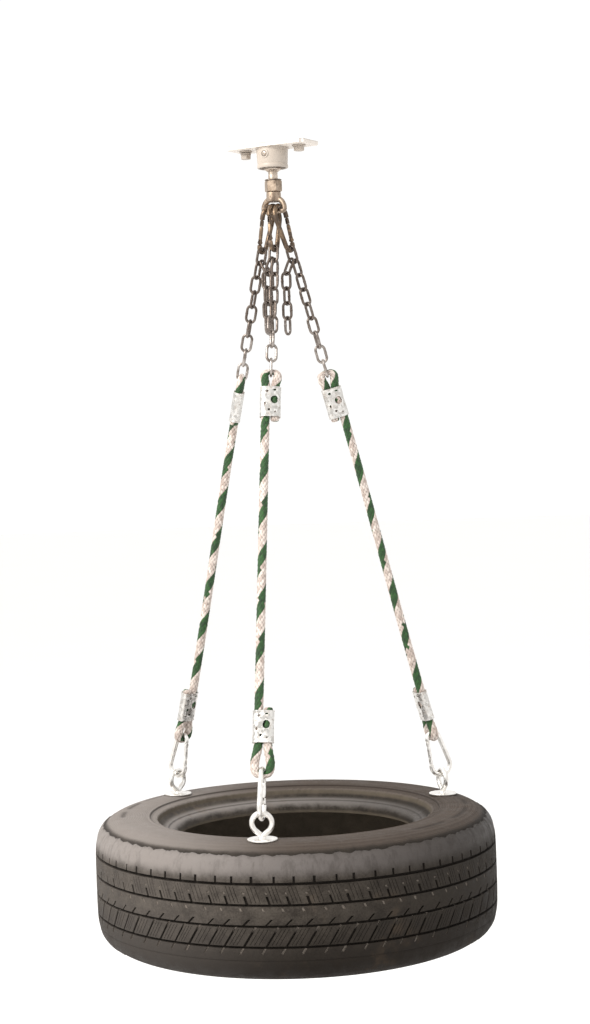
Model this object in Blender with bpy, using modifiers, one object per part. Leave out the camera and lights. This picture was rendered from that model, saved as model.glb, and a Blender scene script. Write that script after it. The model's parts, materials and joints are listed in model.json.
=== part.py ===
"""Tire swing: a tire laid flat, hung by three chain-and-rope legs from a ceiling swivel.

Metres, +Z up. The origin is the centre of the mounting plate's top face, which is screwed under a beam.
X runs along the plate, Y along the pivot pin. Each leg is built along its own line, from the bar of the
swivel eye down to the eyebolt in the tire.
"""

import math

import bmesh
import bpy
from mathutils import Matrix, Vector

MM = 0.001
GAP = 0.3 * MM
WIRE_PLAY = 0.5 * MM
BAR_PLAY = 0.8 * MM
UP = Vector((0, 0, 1))
PLATE_LINE = Vector((1, 0, 0))
PIN_LINE = Vector((0, 1, 0))

# Mounting plate and its two screws
PLATE_LENGTH = 141 * MM
PLATE_WIDTH = 56 * MM
PLATE_THICKNESS = 5.5 * MM
PLATE_CORNER = 5 * MM
SCREW_SPACING = 98 * MM
SCREW_RADIUS = 4.2 * MM
SCREW_HEAD_RADIUS = 8.2 * MM
SCREW_HEAD_HEIGHT = 7 * MM
SCREW_TIP_DEPTH = 0.8 * MM
WASHER_RADIUS = 10.5 * MM
WASHER_THICKNESS = 2 * MM
SPRING_WASHER_RADIUS = 8.5 * MM
SPRING_WASHER_THICKNESS = 3 * MM

# Swivel cup, pivot pin and the block that rocks on it
CUP_TOP_RADIUS = 25 * MM
CUP_RIM_RADIUS = 23.6 * MM
CUP_WALL = 2.4 * MM
CUP_RIM_Z = -37.5 * MM
CUP_LIP = 0.8 * MM
CUP_LIP_HEIGHT = 5 * MM
PIN_Z = -16.5 * MM
PIN_RADIUS = 4.5 * MM
PIN_FRONT = 26 * MM
PIN_BACK = 30 * MM
PIN_GROOVE_RADIUS = 3.4 * MM
PIN_CHAMFER = 0.8 * MM
CLIP_RADIUS = 7.5 * MM
CLIP_THICKNESS = 1.2 * MM
BLOCK_RADIUS = 13.6 * MM
BLOCK_TOP_RADIUS = 8 * MM
BLOCK_TOP_Z = -8.6 * MM
BLOCK_SHOULDER_Z = -13 * MM
BLOCK_BOTTOM_Z = -37.5 * MM
BORE_RADIUS = 11.5 * MM
BORE_TOP_Z = -23 * MM

# Spindle, its ball bearing and the nut above the eye
SHAFT_RADIUS = 7.5 * MM
HEAD_RADIUS = 10.8 * MM
HEAD_TOP_Z = -23.6 * MM
HEAD_BOTTOM_Z = -28 * MM
SHAFT_BOTTOM_Z = -86 * MM
BALL_RADIUS = 1.5 * MM
BALL_CIRCLE = 9.6 * MM
BALL_COUNT = 10
CAGE_THICKNESS = 1 * MM
RACE_THICKNESS = 1.8 * MM
GLAND_FLANGE_RADIUS = 13 * MM
GLAND_TIP_RADIUS = 9.4 * MM
GLAND_FLANGE = 4.6 * MM
NUT_TOP_Z = -56.8 * MM
NUT_HEIGHT = 17.5 * MM
NUT_ACROSS_FLATS = 24 * MM
SHAFT_WASHER_RADIUS = 13.4 * MM
SHAFT_WASHER_THICKNESS = 1.6 * MM

# Swivel eye: a stirrup whose straight bar carries the three hooks
EYE_BAR_Z = -105 * MM
EYE_WIRE = 3.75 * MM
EYE_HALF_WIDTH = 19.2 * MM
EYE_CORNER = 4 * MM
EYE_ARCH_Z = -86 * MM
EYE_ARCH_STEPS = 5
EYE_BOSS_RADIUS = 11.5 * MM
EYE_BOSS_TOP_Z = NUT_TOP_Z - NUT_HEIGHT - GAP
EYE_BOSS_BOTTOM_Z = -90.4 * MM

# Spring hooks, the same six times
HOOK_WIRE = 3.8 * MM
HOOK_LENGTH = 72.4 * MM
HOOK_WIDE = 16.2 * MM
HOOK_NARROW = 10.3 * MM
GATE_RADIUS = 3.1 * MM
GATE_SETBACK = 6.2 * MM
GATE_PLAY = 0.6 * MM
NOSE_REACH = 3 * MM

# Chain
LINK_WIRE = 2.15 * MM
LINK_PITCH = 23.5 * MM
LINK_HALF_WIDTH = 7.35 * MM
LINK_SINK = 0.6 * MM
CHAIN_LINKS = 9
TAIL_LINKS = 5
LINK_OFFSET = 2.6 * MM
SHARED_LINK_DROP = 4.95 * MM
TAIL_LEAN = math.radians(25)
TAIL_OFFSET = 2.3 * MM
TAIL_LIFT = 0.6 * MM

# Rope and its clamps
ROPE_RADIUS = 7 * MM
ROPE_PITCH = 7.35 * MM
TOP_FOLD_PINCH = 4 * MM
TOP_FOLD_WIDTH = 9.9 * MM
BOTTOM_FOLD_PINCH = 5.3 * MM
BOTTOM_FOLD_WIDTH = 11.4 * MM
FOLD_PLAY = 0.6 * MM
ROPE_END = 6 * MM
ROPE_EASE = 8 * MM
ROPE_SIDE_HEADING = math.radians(32)
FOLD_STEPS = 8
CLAMP_LENGTH = 48 * MM
CLAMP_WALL = 1.3 * MM
CLAMP_PLAY = 0.6 * MM
CLAMP_TOP_DROP = 19 * MM
CLAMP_WINDOW_RADIUS = 5.5 * MM
CLAMP_HOLE_RADIUS = 1.5 * MM
CLAMP_WINDOW_SPOT = (-6 * MM, 3 * MM)
CLAMP_UPPER_HOLE_SPOT = (5 * MM, 16 * MM)
CLAMP_LOWER_HOLE_SPOT = (2 * MM, -13 * MM)

# Tire
TIRE_TOP_Z = -1051 * MM
TIRE_RADIUS = 317.5 * MM
TIRE_HALF_WIDTH = 100 * MM
TREAD_HALF_WIDTH = 62 * MM
SEAT_INNER = 232 * MM
SEAT_OUTER = 282 * MM
BEAD_RADIUS = 187 * MM
CASING_WALL = 9 * MM
SHOULDER_ROUND = 10 * MM
CROWN_DROP = 0.5 * MM
SHOULDER_DROP = 5 * MM
BUTTRESS_DROP = 16 * MM
SIDEWALL_FOOT = (216 * MM, 91 * MM)
BEAD_SHOULDER = (198 * MM, 74 * MM)
BEAD_OUTER_HEIGHT = 70 * MM
BEAD_INNER_HEIGHT = 58 * MM
LINING_FOOT = (204 * MM, 62 * MM)
LINING_SHOULDER_DROP = 19 * MM
LINING_SHOULDER_LOWERING = 14 * MM
LINING_CROWN_DROP = 12 * MM
LINING_CROWN_HALF_WIDTH = 43.4 * MM
EYEBOLT_CIRCLE = 257 * MM
DRAIN_RADIUS = 6 * MM

# Eyebolts
BOLT_RADIUS = 4 * MM
BOLT_EYE_RADIUS = 15 * MM
BOLT_EYE_HEIGHT = 22.5 * MM
BOLT_BELOW = 16 * MM
BOLT_WASHER_RADIUS = 22.5 * MM
BOLT_WASHER_THICKNESS = 2.5 * MM
BOLT_NUT_ACROSS_FLATS = 13 * MM
BOLT_NUT_HEIGHT = 6.5 * MM

# Each leg: its heading round the tire, where its hook sits on the eye's bar, which way its upper gate
# faces along Y, which side of the top link the working chain takes, the heading of the upper rope fold,
# which side of the lower fold the working rope takes, and the lower clamp's height above the hook
LEGS = {
    "front": dict(heading=-70, bar_x=0.5 * MM, gate=-1, chain=1, fold=32, rope=-1, lift=38 * MM),
    "right": dict(heading=50, bar_x=9.2 * MM, gate=1, chain=1, fold=32, rope=1, lift=24 * MM),
    "left": dict(heading=170, bar_x=-10.1 * MM, gate=-1, chain=-1, fold=122, rope=1, lift=26 * MM),
}

ROUND_STEPS = 16
FINE_STEPS = 54
GATE_STEPS = 8
PLATE_CORNER_STEPS = 3
SMOOTH_ANGLE = math.radians(35)
WELD_DISTANCE = 0.001 * MM
SCREW_WELD_DISTANCE = 0.01 * MM
WIRE_RINGS = 2
LINK_RINGS = 1
ARC_STEP = math.radians(31)
LINK_ARC_STEP = math.radians(46)


def clear_scene():
    for obj in list(bpy.data.objects):
        bpy.data.objects.remove(obj)


def new_collection(name):
    collection = bpy.data.collections.new(name)
    bpy.context.scene.collection.children.link(collection)
    return collection


def material(name, color, roughness, metallic):
    made = bpy.data.materials.new(name)
    made.use_nodes = True
    shader = made.node_tree.nodes["Principled BSDF"]
    shader.inputs["Base Color"].default_value = (*color, 1)
    shader.inputs["Roughness"].default_value = roughness
    shader.inputs["Metallic"].default_value = metallic
    return made


def make_materials():
    return {
        "cream_paint": material("cream_paint", (0.62, 0.52, 0.40), 0.5, 0.0),
        "dull_steel": material("dull_steel", (0.22, 0.18, 0.15), 0.5, 0.9),
        "bronzed_steel": material("bronzed_steel", (0.24, 0.16, 0.10), 0.45, 0.9),
        "bright_zinc": material("bright_zinc", (0.75, 0.74, 0.72), 0.3, 1.0),
        "chain_steel": material("chain_steel", (0.34, 0.31, 0.30), 0.4, 0.9),
        "clamp_zinc": material("clamp_zinc", (0.72, 0.70, 0.66), 0.35, 0.9),
        "rope_fibre": material("rope_fibre", (0.45, 0.60, 0.40), 0.85, 0.0),
        "tire_rubber": material("tire_rubber", (0.075, 0.06, 0.05), 0.85, 0.0),
    }


def axes_matrix(origin, z_axis, x_hint):
    """Frame at origin with +Z along z_axis and +X as near to x_hint as a square corner allows."""
    z = z_axis.normalized()
    x = (x_hint - z * x_hint.dot(z)).normalized()
    y = z.cross(x)
    turned_axes = Matrix((x, y, z)).transposed().to_4x4()
    return Matrix.Translation(origin) @ turned_axes


def add_object(name, data, look, place=None):
    obj = bpy.data.objects.new(name, data)
    if look is None:
        CUTTERS.objects.link(obj)
        obj.hide_render = True
        obj.display_type = "WIRE"
    else:
        SWING.objects.link(obj)
        if not data.materials:
            data.materials.append(LOOKS[look])
    if place is not None:
        obj.matrix_world = place
    return obj


def smooth(mesh):
    mesh.shade_smooth()
    mesh.set_sharp_from_angle(angle=SMOOTH_ANGLE)


def boolean(obj, other, operation):
    modifier = obj.modifiers.new(operation.lower(), "BOOLEAN")
    modifier.operation = operation
    modifier.object = other
    modifier.solver = "EXACT"


def turned(name, profile, look, place=None, steps=ROUND_STEPS, closed=True):
    """Solid of revolution about Z. The profile holds (radius, z) points, running down its outer side."""
    mesh = bpy.data.meshes.new(name)
    count = len(profile)
    edges = [(i, (i + 1) % count) for i in range(count if closed else count - 1)]
    mesh.from_pydata([(r, 0, z) for r, z in profile], edges, [])
    obj = add_object(name, mesh, look, place)
    screw = obj.modifiers.new("turn", "SCREW")
    screw.steps = steps
    screw.render_steps = steps
    screw.use_merge_vertices = True
    screw.merge_threshold = SCREW_WELD_DISTANCE
    screw.use_smooth_shade = True
    return obj


def ring_profile(inner, outer, bottom, top):
    return [(inner, top), (outer, top), (outer, bottom), (inner, bottom)]


def bar_mesh(name, radius, depth, sides):
    """Upright bar, centred on the origin: a round one with many sides, or a hexagon with six."""
    mesh = bpy.data.meshes.new(name)
    shape = bmesh.new()
    bmesh.ops.create_cone(shape, cap_ends=True, segments=sides, radius1=radius, radius2=radius, depth=depth)
    shape.to_mesh(mesh)
    shape.free()
    return mesh


def cutting_bar(name, radius, depth, centre, line):
    hint = PLATE_LINE if line.cross(UP).length < line.cross(PLATE_LINE).length else UP
    mesh = bar_mesh(name, radius, depth, ROUND_STEPS)
    return add_object(name, mesh, None, axes_matrix(centre, line, hint))


def wire_curve(name, points, radius, radii=None, cyclic=False, rings=WIRE_RINGS):
    curve = bpy.data.curves.new(name, "CURVE")
    curve.dimensions = "3D"
    curve.bevel_depth = radius
    curve.bevel_resolution = rings
    curve.use_fill_caps = not cyclic
    spline = curve.splines.new("POLY")
    spline.points.add(len(points) - 1)
    for i, point in enumerate(points):
        spline.points[i].co = (*point, 1)
        spline.points[i].radius = 1 if radii is None else radii[i] / radius
    spline.use_cyclic_u = cyclic
    return curve


def curve_mesh(name, curve):
    """The curve's tube as a closed mesh, with its caps welded on."""
    holder = bpy.data.objects.new(name + "_curve", curve)
    bpy.context.scene.collection.objects.link(holder)
    graph = bpy.context.evaluated_depsgraph_get()
    mesh = bpy.data.meshes.new_from_object(holder.evaluated_get(graph))
    mesh.name = name
    bpy.data.objects.remove(holder)
    shape = bmesh.new()
    shape.from_mesh(mesh)
    bmesh.ops.remove_doubles(shape, verts=shape.verts, dist=WELD_DISTANCE)
    bmesh.ops.recalc_face_normals(shape, faces=shape.faces)
    shape.to_mesh(mesh)
    shape.free()
    smooth(mesh)
    return mesh


def arc(centre, radius, start, end, step):
    """Points (x, z) on an arc from angle start to end, in steps no longer than step."""
    count = max(1, math.ceil(abs(end - start) / step))
    angles = [start + (end - start) * i / count for i in range(count + 1)]
    return [(centre[0] + radius * math.cos(a), centre[1] + radius * math.sin(a)) for a in angles]


def upright(points):
    return [(x, 0, z) for x, z in points]


# ---------------------------------------------------------------- bracket and swivel


def make_plate():
    mesh = bpy.data.meshes.new("mounting_plate")
    shape = bmesh.new()
    bmesh.ops.create_cube(shape, size=1)
    bmesh.ops.scale(shape, vec=(PLATE_LENGTH, PLATE_WIDTH, PLATE_THICKNESS), verts=shape.verts)
    corners = [e for e in shape.edges if abs((e.verts[0].co - e.verts[1].co).z) > PLATE_THICKNESS / 2]
    bmesh.ops.bevel(shape, geom=corners, offset=PLATE_CORNER, segments=PLATE_CORNER_STEPS, affect="EDGES")
    shape.to_mesh(mesh)
    shape.free()
    middle = Vector((0, 0, -PLATE_THICKNESS / 2))
    plate = add_object("mounting_plate", mesh, "cream_paint", Matrix.Translation(middle))
    for side in (-1, 1):
        centre = Vector((side * SCREW_SPACING / 2, 0, -PLATE_THICKNESS / 2))
        hole = cutting_bar("screw_hole", SCREW_RADIUS + GAP, 4 * PLATE_THICKNESS, centre, UP)
        boolean(plate, hole, "DIFFERENCE")


def make_screw(side, name, spring_washer):
    x = side * SCREW_SPACING / 2
    place = Matrix.Translation((x, 0, 0))
    top = -PLATE_THICKNESS - GAP
    flat = ring_profile(SCREW_RADIUS + GAP, WASHER_RADIUS, top - WASHER_THICKNESS, top)
    turned(f"plate_washer_{name}", flat, "dull_steel", place)
    top -= WASHER_THICKNESS + GAP
    if spring_washer:
        bottom = top - SPRING_WASHER_THICKNESS
        spring = ring_profile(SCREW_RADIUS + GAP, SPRING_WASHER_RADIUS, bottom, top)
        turned(f"spring_washer_{name}", spring, "dull_steel", place)
        top = bottom - GAP
    head_middle = Matrix.Translation((x, 0, top - SCREW_HEAD_HEIGHT / 2))
    head = bar_mesh("screw_head", SCREW_HEAD_RADIUS, SCREW_HEAD_HEIGHT, 6)
    screw = add_object(f"plate_screw_{name}", head, "dull_steel", head_middle)
    shank_top = -SCREW_TIP_DEPTH
    shank_length = shank_top - top + SCREW_HEAD_HEIGHT / 2
    shank_middle = Vector((x, 0, shank_top - shank_length / 2))
    shank = cutting_bar("screw_shank", SCREW_RADIUS, shank_length, shank_middle, UP)
    boolean(screw, shank, "UNION")


def make_cup():
    top = -PLATE_THICKNESS - GAP
    profile = [
        (CUP_TOP_RADIUS, top),
        (CUP_RIM_RADIUS + CUP_LIP, CUP_RIM_Z + CUP_LIP_HEIGHT),
        (CUP_RIM_RADIUS + CUP_LIP, CUP_RIM_Z + CUP_LIP),
        (CUP_RIM_RADIUS, CUP_RIM_Z),
        (CUP_RIM_RADIUS - CUP_WALL, CUP_RIM_Z),
        (CUP_RIM_RADIUS - CUP_WALL, CUP_RIM_Z + CUP_LIP_HEIGHT),
        (CUP_TOP_RADIUS - CUP_WALL, top),
    ]
    cup = turned("swivel_cup", profile, "cream_paint", steps=2 * ROUND_STEPS)
    bore = cutting_bar("cup_pin_bore", PIN_RADIUS + GAP, 3 * CUP_TOP_RADIUS, Vector((0, 0, PIN_Z)), PIN_LINE)
    boolean(cup, bore, "DIFFERENCE")


def make_pin():
    """Its length runs along local Z, which points to the back of the cup."""
    groove_start = CUP_TOP_RADIUS + GAP
    groove_end = groove_start + CLIP_THICKNESS + 2 * GAP
    profile = [
        (0, PIN_BACK),
        (PIN_RADIUS - PIN_CHAMFER, PIN_BACK),
        (PIN_RADIUS, PIN_BACK - PIN_CHAMFER),
        (PIN_RADIUS, groove_end),
        (PIN_GROOVE_RADIUS, groove_end),
        (PIN_GROOVE_RADIUS, groove_start),
        (PIN_RADIUS, groove_start),
        (PIN_RADIUS, PIN_CHAMFER - PIN_FRONT),
        (PIN_RADIUS - PIN_CHAMFER, -PIN_FRONT),
        (0, -PIN_FRONT),
    ]
    place = axes_matrix(Vector((0, 0, PIN_Z)), PIN_LINE, PLATE_LINE)
    turned("pivot_pin", profile, "dull_steel", place, closed=False)
    clip_bottom = groove_start + GAP
    clip = ring_profile(PIN_GROOVE_RADIUS + GAP, CLIP_RADIUS, clip_bottom, clip_bottom + CLIP_THICKNESS)
    turned("pin_clip", clip, "dull_steel", place)


def make_block():
    profile = [
        (0, BLOCK_TOP_Z),
        (BLOCK_TOP_RADIUS, BLOCK_TOP_Z),
        (BLOCK_RADIUS, BLOCK_SHOULDER_Z),
        (BLOCK_RADIUS, BLOCK_BOTTOM_Z),
        (BORE_RADIUS, BLOCK_BOTTOM_Z),
        (BORE_RADIUS, BORE_TOP_Z),
        (0, BORE_TOP_Z),
    ]
    block = turned("rocker_block", profile, "dull_steel", closed=False)
    bore = cutting_bar("block_pin_bore", PIN_RADIUS + GAP, 3 * BLOCK_RADIUS, Vector((0, 0, PIN_Z)), PIN_LINE)
    boolean(block, bore, "DIFFERENCE")


def make_bearing():
    inner = SHAFT_RADIUS + GAP
    ball_z = HEAD_BOTTOM_Z - GAP - BALL_RADIUS
    cage_bottom = ball_z - CAGE_THICKNESS / 2
    cage = ring_profile(
        BALL_CIRCLE - CAGE_THICKNESS, BALL_CIRCLE + CAGE_THICKNESS, cage_bottom, cage_bottom + CAGE_THICKNESS
    )
    ring = turned("thrust_ball_ring", cage, "bright_zinc")
    balls_mesh = bpy.data.meshes.new("bearing_balls")
    shape = bmesh.new()
    for i in range(BALL_COUNT):
        turn = Matrix.Rotation(2 * math.pi * i / BALL_COUNT, 4, "Z")
        centre = turn @ Matrix.Translation((BALL_CIRCLE, 0, ball_z))
        bmesh.ops.create_icosphere(shape, subdivisions=1, radius=BALL_RADIUS, matrix=centre)
    shape.to_mesh(balls_mesh)
    shape.free()
    boolean(ring, add_object("bearing_balls", balls_mesh, None), "UNION")
    race_top = ball_z - BALL_RADIUS - GAP
    race_bottom = race_top - RACE_THICKNESS
    outer = BORE_RADIUS - GAP
    turned("lower_race", ring_profile(inner, outer, race_bottom, race_top), "dull_steel")
    flange_top = BLOCK_BOTTOM_Z - GAP
    gland = [
        (inner, race_bottom - GAP),
        (outer, race_bottom - GAP),
        (outer, flange_top),
        (GLAND_FLANGE_RADIUS, flange_top),
        (GLAND_FLANGE_RADIUS, flange_top - GLAND_FLANGE / 2),
        (GLAND_TIP_RADIUS, flange_top - GLAND_FLANGE),
        (inner, flange_top - GLAND_FLANGE),
    ]
    turned("gland_bushing", gland, "bronzed_steel")


def make_spindle():
    profile = [
        (0, HEAD_TOP_Z),
        (HEAD_RADIUS, HEAD_TOP_Z),
        (HEAD_RADIUS, HEAD_BOTTOM_Z),
        (SHAFT_RADIUS, HEAD_BOTTOM_Z),
        (SHAFT_RADIUS, SHAFT_BOTTOM_Z),
        (0, SHAFT_BOTTOM_Z),
    ]
    turned("spindle", profile, "bronzed_steel", closed=False)
    washer_bottom = NUT_TOP_Z + GAP
    washer_top = washer_bottom + SHAFT_WASHER_THICKNESS
    washer = ring_profile(SHAFT_RADIUS + GAP, SHAFT_WASHER_RADIUS, washer_bottom, washer_top)
    turned("spindle_washer", washer, "dull_steel")
    circumradius = NUT_ACROSS_FLATS / 2 / math.cos(math.pi / 6)
    nut_middle = Vector((0, 0, NUT_TOP_Z - NUT_HEIGHT / 2))
    nut_mesh = bar_mesh("lock_nut", circumradius, NUT_HEIGHT, 6)
    nut = add_object("spindle_lock_nut", nut_mesh, "bronzed_steel", Matrix.Translation(nut_middle))
    bore = cutting_bar("lock_nut_bore", SHAFT_RADIUS + GAP, 2 * NUT_HEIGHT, nut_middle, UP)
    boolean(nut, bore, "DIFFERENCE")


def eye_outline():
    """The stirrup's centre line (x, z): a straight bar, square corners rounded off, and an arch above."""
    low = EYE_BAR_Z + EYE_CORNER
    side = EYE_HALF_WIDTH - EYE_CORNER
    corner = arc((side, low), EYE_CORNER, -math.pi / 2, 0, ARC_STEP)
    rise = EYE_ARCH_Z - low
    angles = [math.pi / 2 * i / EYE_ARCH_STEPS for i in range(1, EYE_ARCH_STEPS + 1)]
    arch = [(EYE_HALF_WIDTH * math.cos(a), low + rise * math.sin(a)) for a in angles]
    half = corner + arch
    return half + [(-x, z) for x, z in reversed(half[:-1])]


def make_eye():
    ring = wire_curve("swivel_eye", upright(eye_outline()), EYE_WIRE, cyclic=True)
    eye = add_object("swivel_eye", curve_mesh("swivel_eye", ring), "bronzed_steel")
    boss_depth = EYE_BOSS_TOP_Z - EYE_BOSS_BOTTOM_Z
    boss_middle = Vector((0, 0, (EYE_BOSS_TOP_Z + EYE_BOSS_BOTTOM_Z) / 2))
    boolean(eye, cutting_bar("eye_boss", EYE_BOSS_RADIUS, boss_depth, boss_middle, UP), "UNION")
    socket_top = EYE_BOSS_TOP_Z + EYE_BOSS_RADIUS
    socket_bottom = SHAFT_BOTTOM_Z - GAP
    socket_middle = Vector((0, 0, (socket_top + socket_bottom) / 2))
    socket = cutting_bar("eye_socket", SHAFT_RADIUS + GAP, socket_top - socket_bottom, socket_middle, UP)
    boolean(eye, socket, "DIFFERENCE")


# ---------------------------------------------------------------- spring hooks


def hook_sides():
    """Outer tangent of the hook's two end arcs on the gate side: its slant and its two ends (x, z)."""
    between = HOOK_LENGTH - HOOK_WIDE - HOOK_NARROW
    slant = math.asin((HOOK_WIDE - HOOK_NARROW) / between)
    normal = Vector((math.cos(slant), math.sin(slant)))
    wide_end = Vector((0, HOOK_WIDE)) + normal * HOOK_WIDE
    narrow_end = Vector((0, HOOK_LENGTH - HOOK_NARROW)) + normal * HOOK_NARROW
    return slant, wide_end, narrow_end


def gate_ends():
    """Centres (x, z) of the gate's two round ends: the one on the hinge and the one at the nose."""
    _, wide_end, narrow_end = hook_sides()
    line = (wide_end - narrow_end).normalized()
    hinge = narrow_end + line * GATE_SETBACK
    nose = wide_end - line * (NOSE_REACH + GATE_PLAY + GATE_RADIUS)
    return hinge, nose


def hook_body_mesh():
    """Open wire loop from the gate's hinge round the narrow end, down the spine and round to the nose."""
    slant, wide_end, narrow_end = hook_sides()
    line = (wide_end - narrow_end).normalized()
    half_turn = math.pi - 2 * slant
    narrow_centre = (0, HOOK_LENGTH - HOOK_NARROW)
    points = [tuple(narrow_end + line * (GATE_SETBACK - GATE_RADIUS - GATE_PLAY))]
    points += arc(narrow_centre, HOOK_NARROW, slant, slant + half_turn, ARC_STEP)
    points += arc((0, HOOK_WIDE), HOOK_WIDE, math.pi - slant, 2 * math.pi + slant, ARC_STEP)
    points.append(tuple(wide_end - line * NOSE_REACH))
    return curve_mesh("hook_body", wire_curve("hook_body", upright(points), HOOK_WIRE))


def gate_profile(length):
    """Half outline of a round-ended rod whose hinge end is centred on the origin."""
    bulge = GATE_RADIUS * math.cos(math.pi / 4)
    return [
        (0, length + GATE_RADIUS),
        (bulge, length + bulge),
        (GATE_RADIUS, length),
        (GATE_RADIUS, 0),
        (bulge, -bulge),
        (0, -GATE_RADIUS),
    ]


def make_hook(name, place, look):
    """Local frame: origin at the middle of the wide end's wire, +Z to the narrow end, gate on +X."""
    body = add_object(f"{name}_hook", HOOK_MESH, look, place)
    body.material_slots[0].link = "OBJECT"
    body.material_slots[0].material = LOOKS[look]
    hinge, nose = gate_ends()
    start = place @ Vector((hinge.x, 0, hinge.y))
    end = place @ Vector((nose.x, 0, nose.y))
    gate_place = axes_matrix(start, end - start, place.to_3x3() @ Vector((1, 0, 0)))
    profile = gate_profile((end - start).length)
    turned(f"{name}_gate", profile, look, gate_place, steps=GATE_STEPS, closed=False)


# ---------------------------------------------------------------- legs


def leg_line(leg):
    """The leg's line: its start on the eye's bar, its end in the eyebolt's top wire, its direction."""
    heading = math.radians(leg["heading"])
    start = Vector((leg["bar_x"], 0, EYE_BAR_Z))
    outward = Vector((math.cos(heading), math.sin(heading), 0))
    end = outward * EYEBOLT_CIRCLE + UP * (bolt_eye_z() + BOLT_EYE_RADIUS)
    return start, end, (end - start).normalized()


def bolt_eye_z():
    return TIRE_TOP_Z + GAP + BOLT_WASHER_THICKNESS + GAP + BOLT_EYE_HEIGHT


def square_to(vector, line):
    return (vector - line * vector.dot(line)).normalized()


def upper_hook_frame(leg):
    start, _, line = leg_line(leg)
    top = start - line * (EYE_WIRE + HOOK_WIRE + BAR_PLAY)
    flat = square_to(PLATE_LINE, line)
    sideways = line.cross(flat)
    if sideways.dot(PIN_LINE) * leg["gate"] < 0:
        sideways = -sideways
    return axes_matrix(top, line, sideways)


def lower_hook_frame(leg):
    _, end, line = leg_line(leg)
    bottom = end + line * (BOLT_RADIUS + HOOK_WIRE + WIRE_PLAY)
    inward = square_to(Vector((-end.x, -end.y, 0)), line)
    return axes_matrix(bottom, -line, inward)


def link_points():
    """Centre line (x, z) of a link, from its top at the origin down."""
    length = LINK_PITCH + 2 * LINK_WIRE - LINK_SINK
    top = arc((0, -LINK_HALF_WIDTH), LINK_HALF_WIDTH, 0, math.pi, LINK_ARC_STEP)
    bottom = arc((0, LINK_HALF_WIDTH - length), LINK_HALF_WIDTH, math.pi, 2 * math.pi, LINK_ARC_STEP)
    return top + bottom


def link_mesh():
    curve = wire_curve("link", upright(link_points()), LINK_WIRE, cyclic=True, rings=LINK_RINGS)
    return curve_mesh("link", curve)


def chain_frames(leg):
    """Frames of the working chain's links from the top: origin in each link's top wire, +Z up the leg."""
    hook = upper_hook_frame(leg)
    _, _, line = leg_line(leg)
    flat = square_to(PLATE_LINE, line)
    across = line.cross(flat)
    heading = math.radians(leg["fold"])
    fold = square_to(Vector((math.cos(heading), math.sin(heading), 0)), line)
    twist = math.atan2(fold.dot(-flat), fold.dot(across))
    twist = (twist + math.pi / 2) % math.pi - math.pi / 2
    first = hook @ Vector((0, 0, HOOK_LENGTH - HOOK_WIRE - LINK_WIRE - WIRE_PLAY))
    length = LINK_PITCH + 2 * LINK_WIRE - LINK_SINK
    steps = CHAIN_LINKS - 1
    frames = []
    for i in range(CHAIN_LINKS):
        turn = twist * i / steps + (math.pi / 2) * (i % 2)
        width_line = Matrix.Rotation(turn, 3, line) @ flat
        if i == 0:
            centre = first
        else:
            drop = length - SHARED_LINK_DROP + (i - 1) * LINK_PITCH
            offset = leg["chain"] * LINK_OFFSET * (steps - i) / (steps - 1)
            centre = first + line * drop + flat * offset
        frames.append(axes_matrix(centre, -line, width_line))
    return frames


def tail_frames(leg):
    """Frames of the spare chain on the top link: its first link leans in, the rest hang plumb."""
    top_link = chain_frames(leg)[0]
    _, _, line = leg_line(leg)
    flat = square_to(PLATE_LINE, line)
    length = LINK_PITCH + 2 * LINK_WIRE - LINK_SINK
    arc_centre = top_link.translation + line * (length - LINK_HALF_WIDTH)
    lean = Vector((-leg["chain"] * math.sin(TAIL_LEAN), 0, -math.cos(TAIL_LEAN)))
    centre = arc_centre - flat * leg["chain"] * TAIL_OFFSET - line * TAIL_LIFT
    frames = [axes_matrix(centre, -lean, PIN_LINE)]
    centre = centre + lean * length + UP * (2 * LINK_WIRE - LINK_SINK)
    for i in range(1, TAIL_LINKS):
        frames.append(axes_matrix(centre, UP, PLATE_LINE if i % 2 else PIN_LINE))
        centre = centre - UP * LINK_PITCH
    return frames


def joined_links(name, frames, origin):
    """One mesh of several links that don't touch each other, about the given origin."""
    mesh = bpy.data.meshes.new(name)
    shape = bmesh.new()
    back = Matrix.Translation(-origin)
    for frame in frames:
        one = LINK_MESH.copy()
        one.transform(back @ frame)
        shape.from_mesh(one)
        bpy.data.meshes.remove(one)
    shape.to_mesh(mesh)
    shape.free()
    smooth(mesh)
    return mesh


def make_strand(name, frames, origin):
    """Links in contact, joined: every second link is united with the ones between."""
    place = Matrix.Translation(origin)
    strand = add_object(name, joined_links(name, frames[0::2], origin), "chain_steel", place)
    others = add_object(name + "_between", joined_links(name, frames[1::2], origin), None, place)
    boolean(strand, others, "UNION")


def tail_hinge(leg):
    """The spare chain turns about the middle of its first link's top bend, on a line along X."""
    return tail_frames(leg)[0] @ Vector((0, 0, -LINK_HALF_WIDTH))


def fold_path(centre, out, side, pinch, reach, width):
    """Rope path round a wire at centre, bulging towards out, from the +side leg to the -side leg."""
    points = []
    radii = []
    for i in range(FOLD_STEPS + 1):
        angle = math.pi / 2 - math.pi * i / FOLD_STEPS
        points.append(centre + out * reach * math.cos(angle) + side * width * math.sin(angle))
        radii.append(pinch + (ROPE_RADIUS - pinch) * math.sin(angle) ** 2)
    return points, radii


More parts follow.
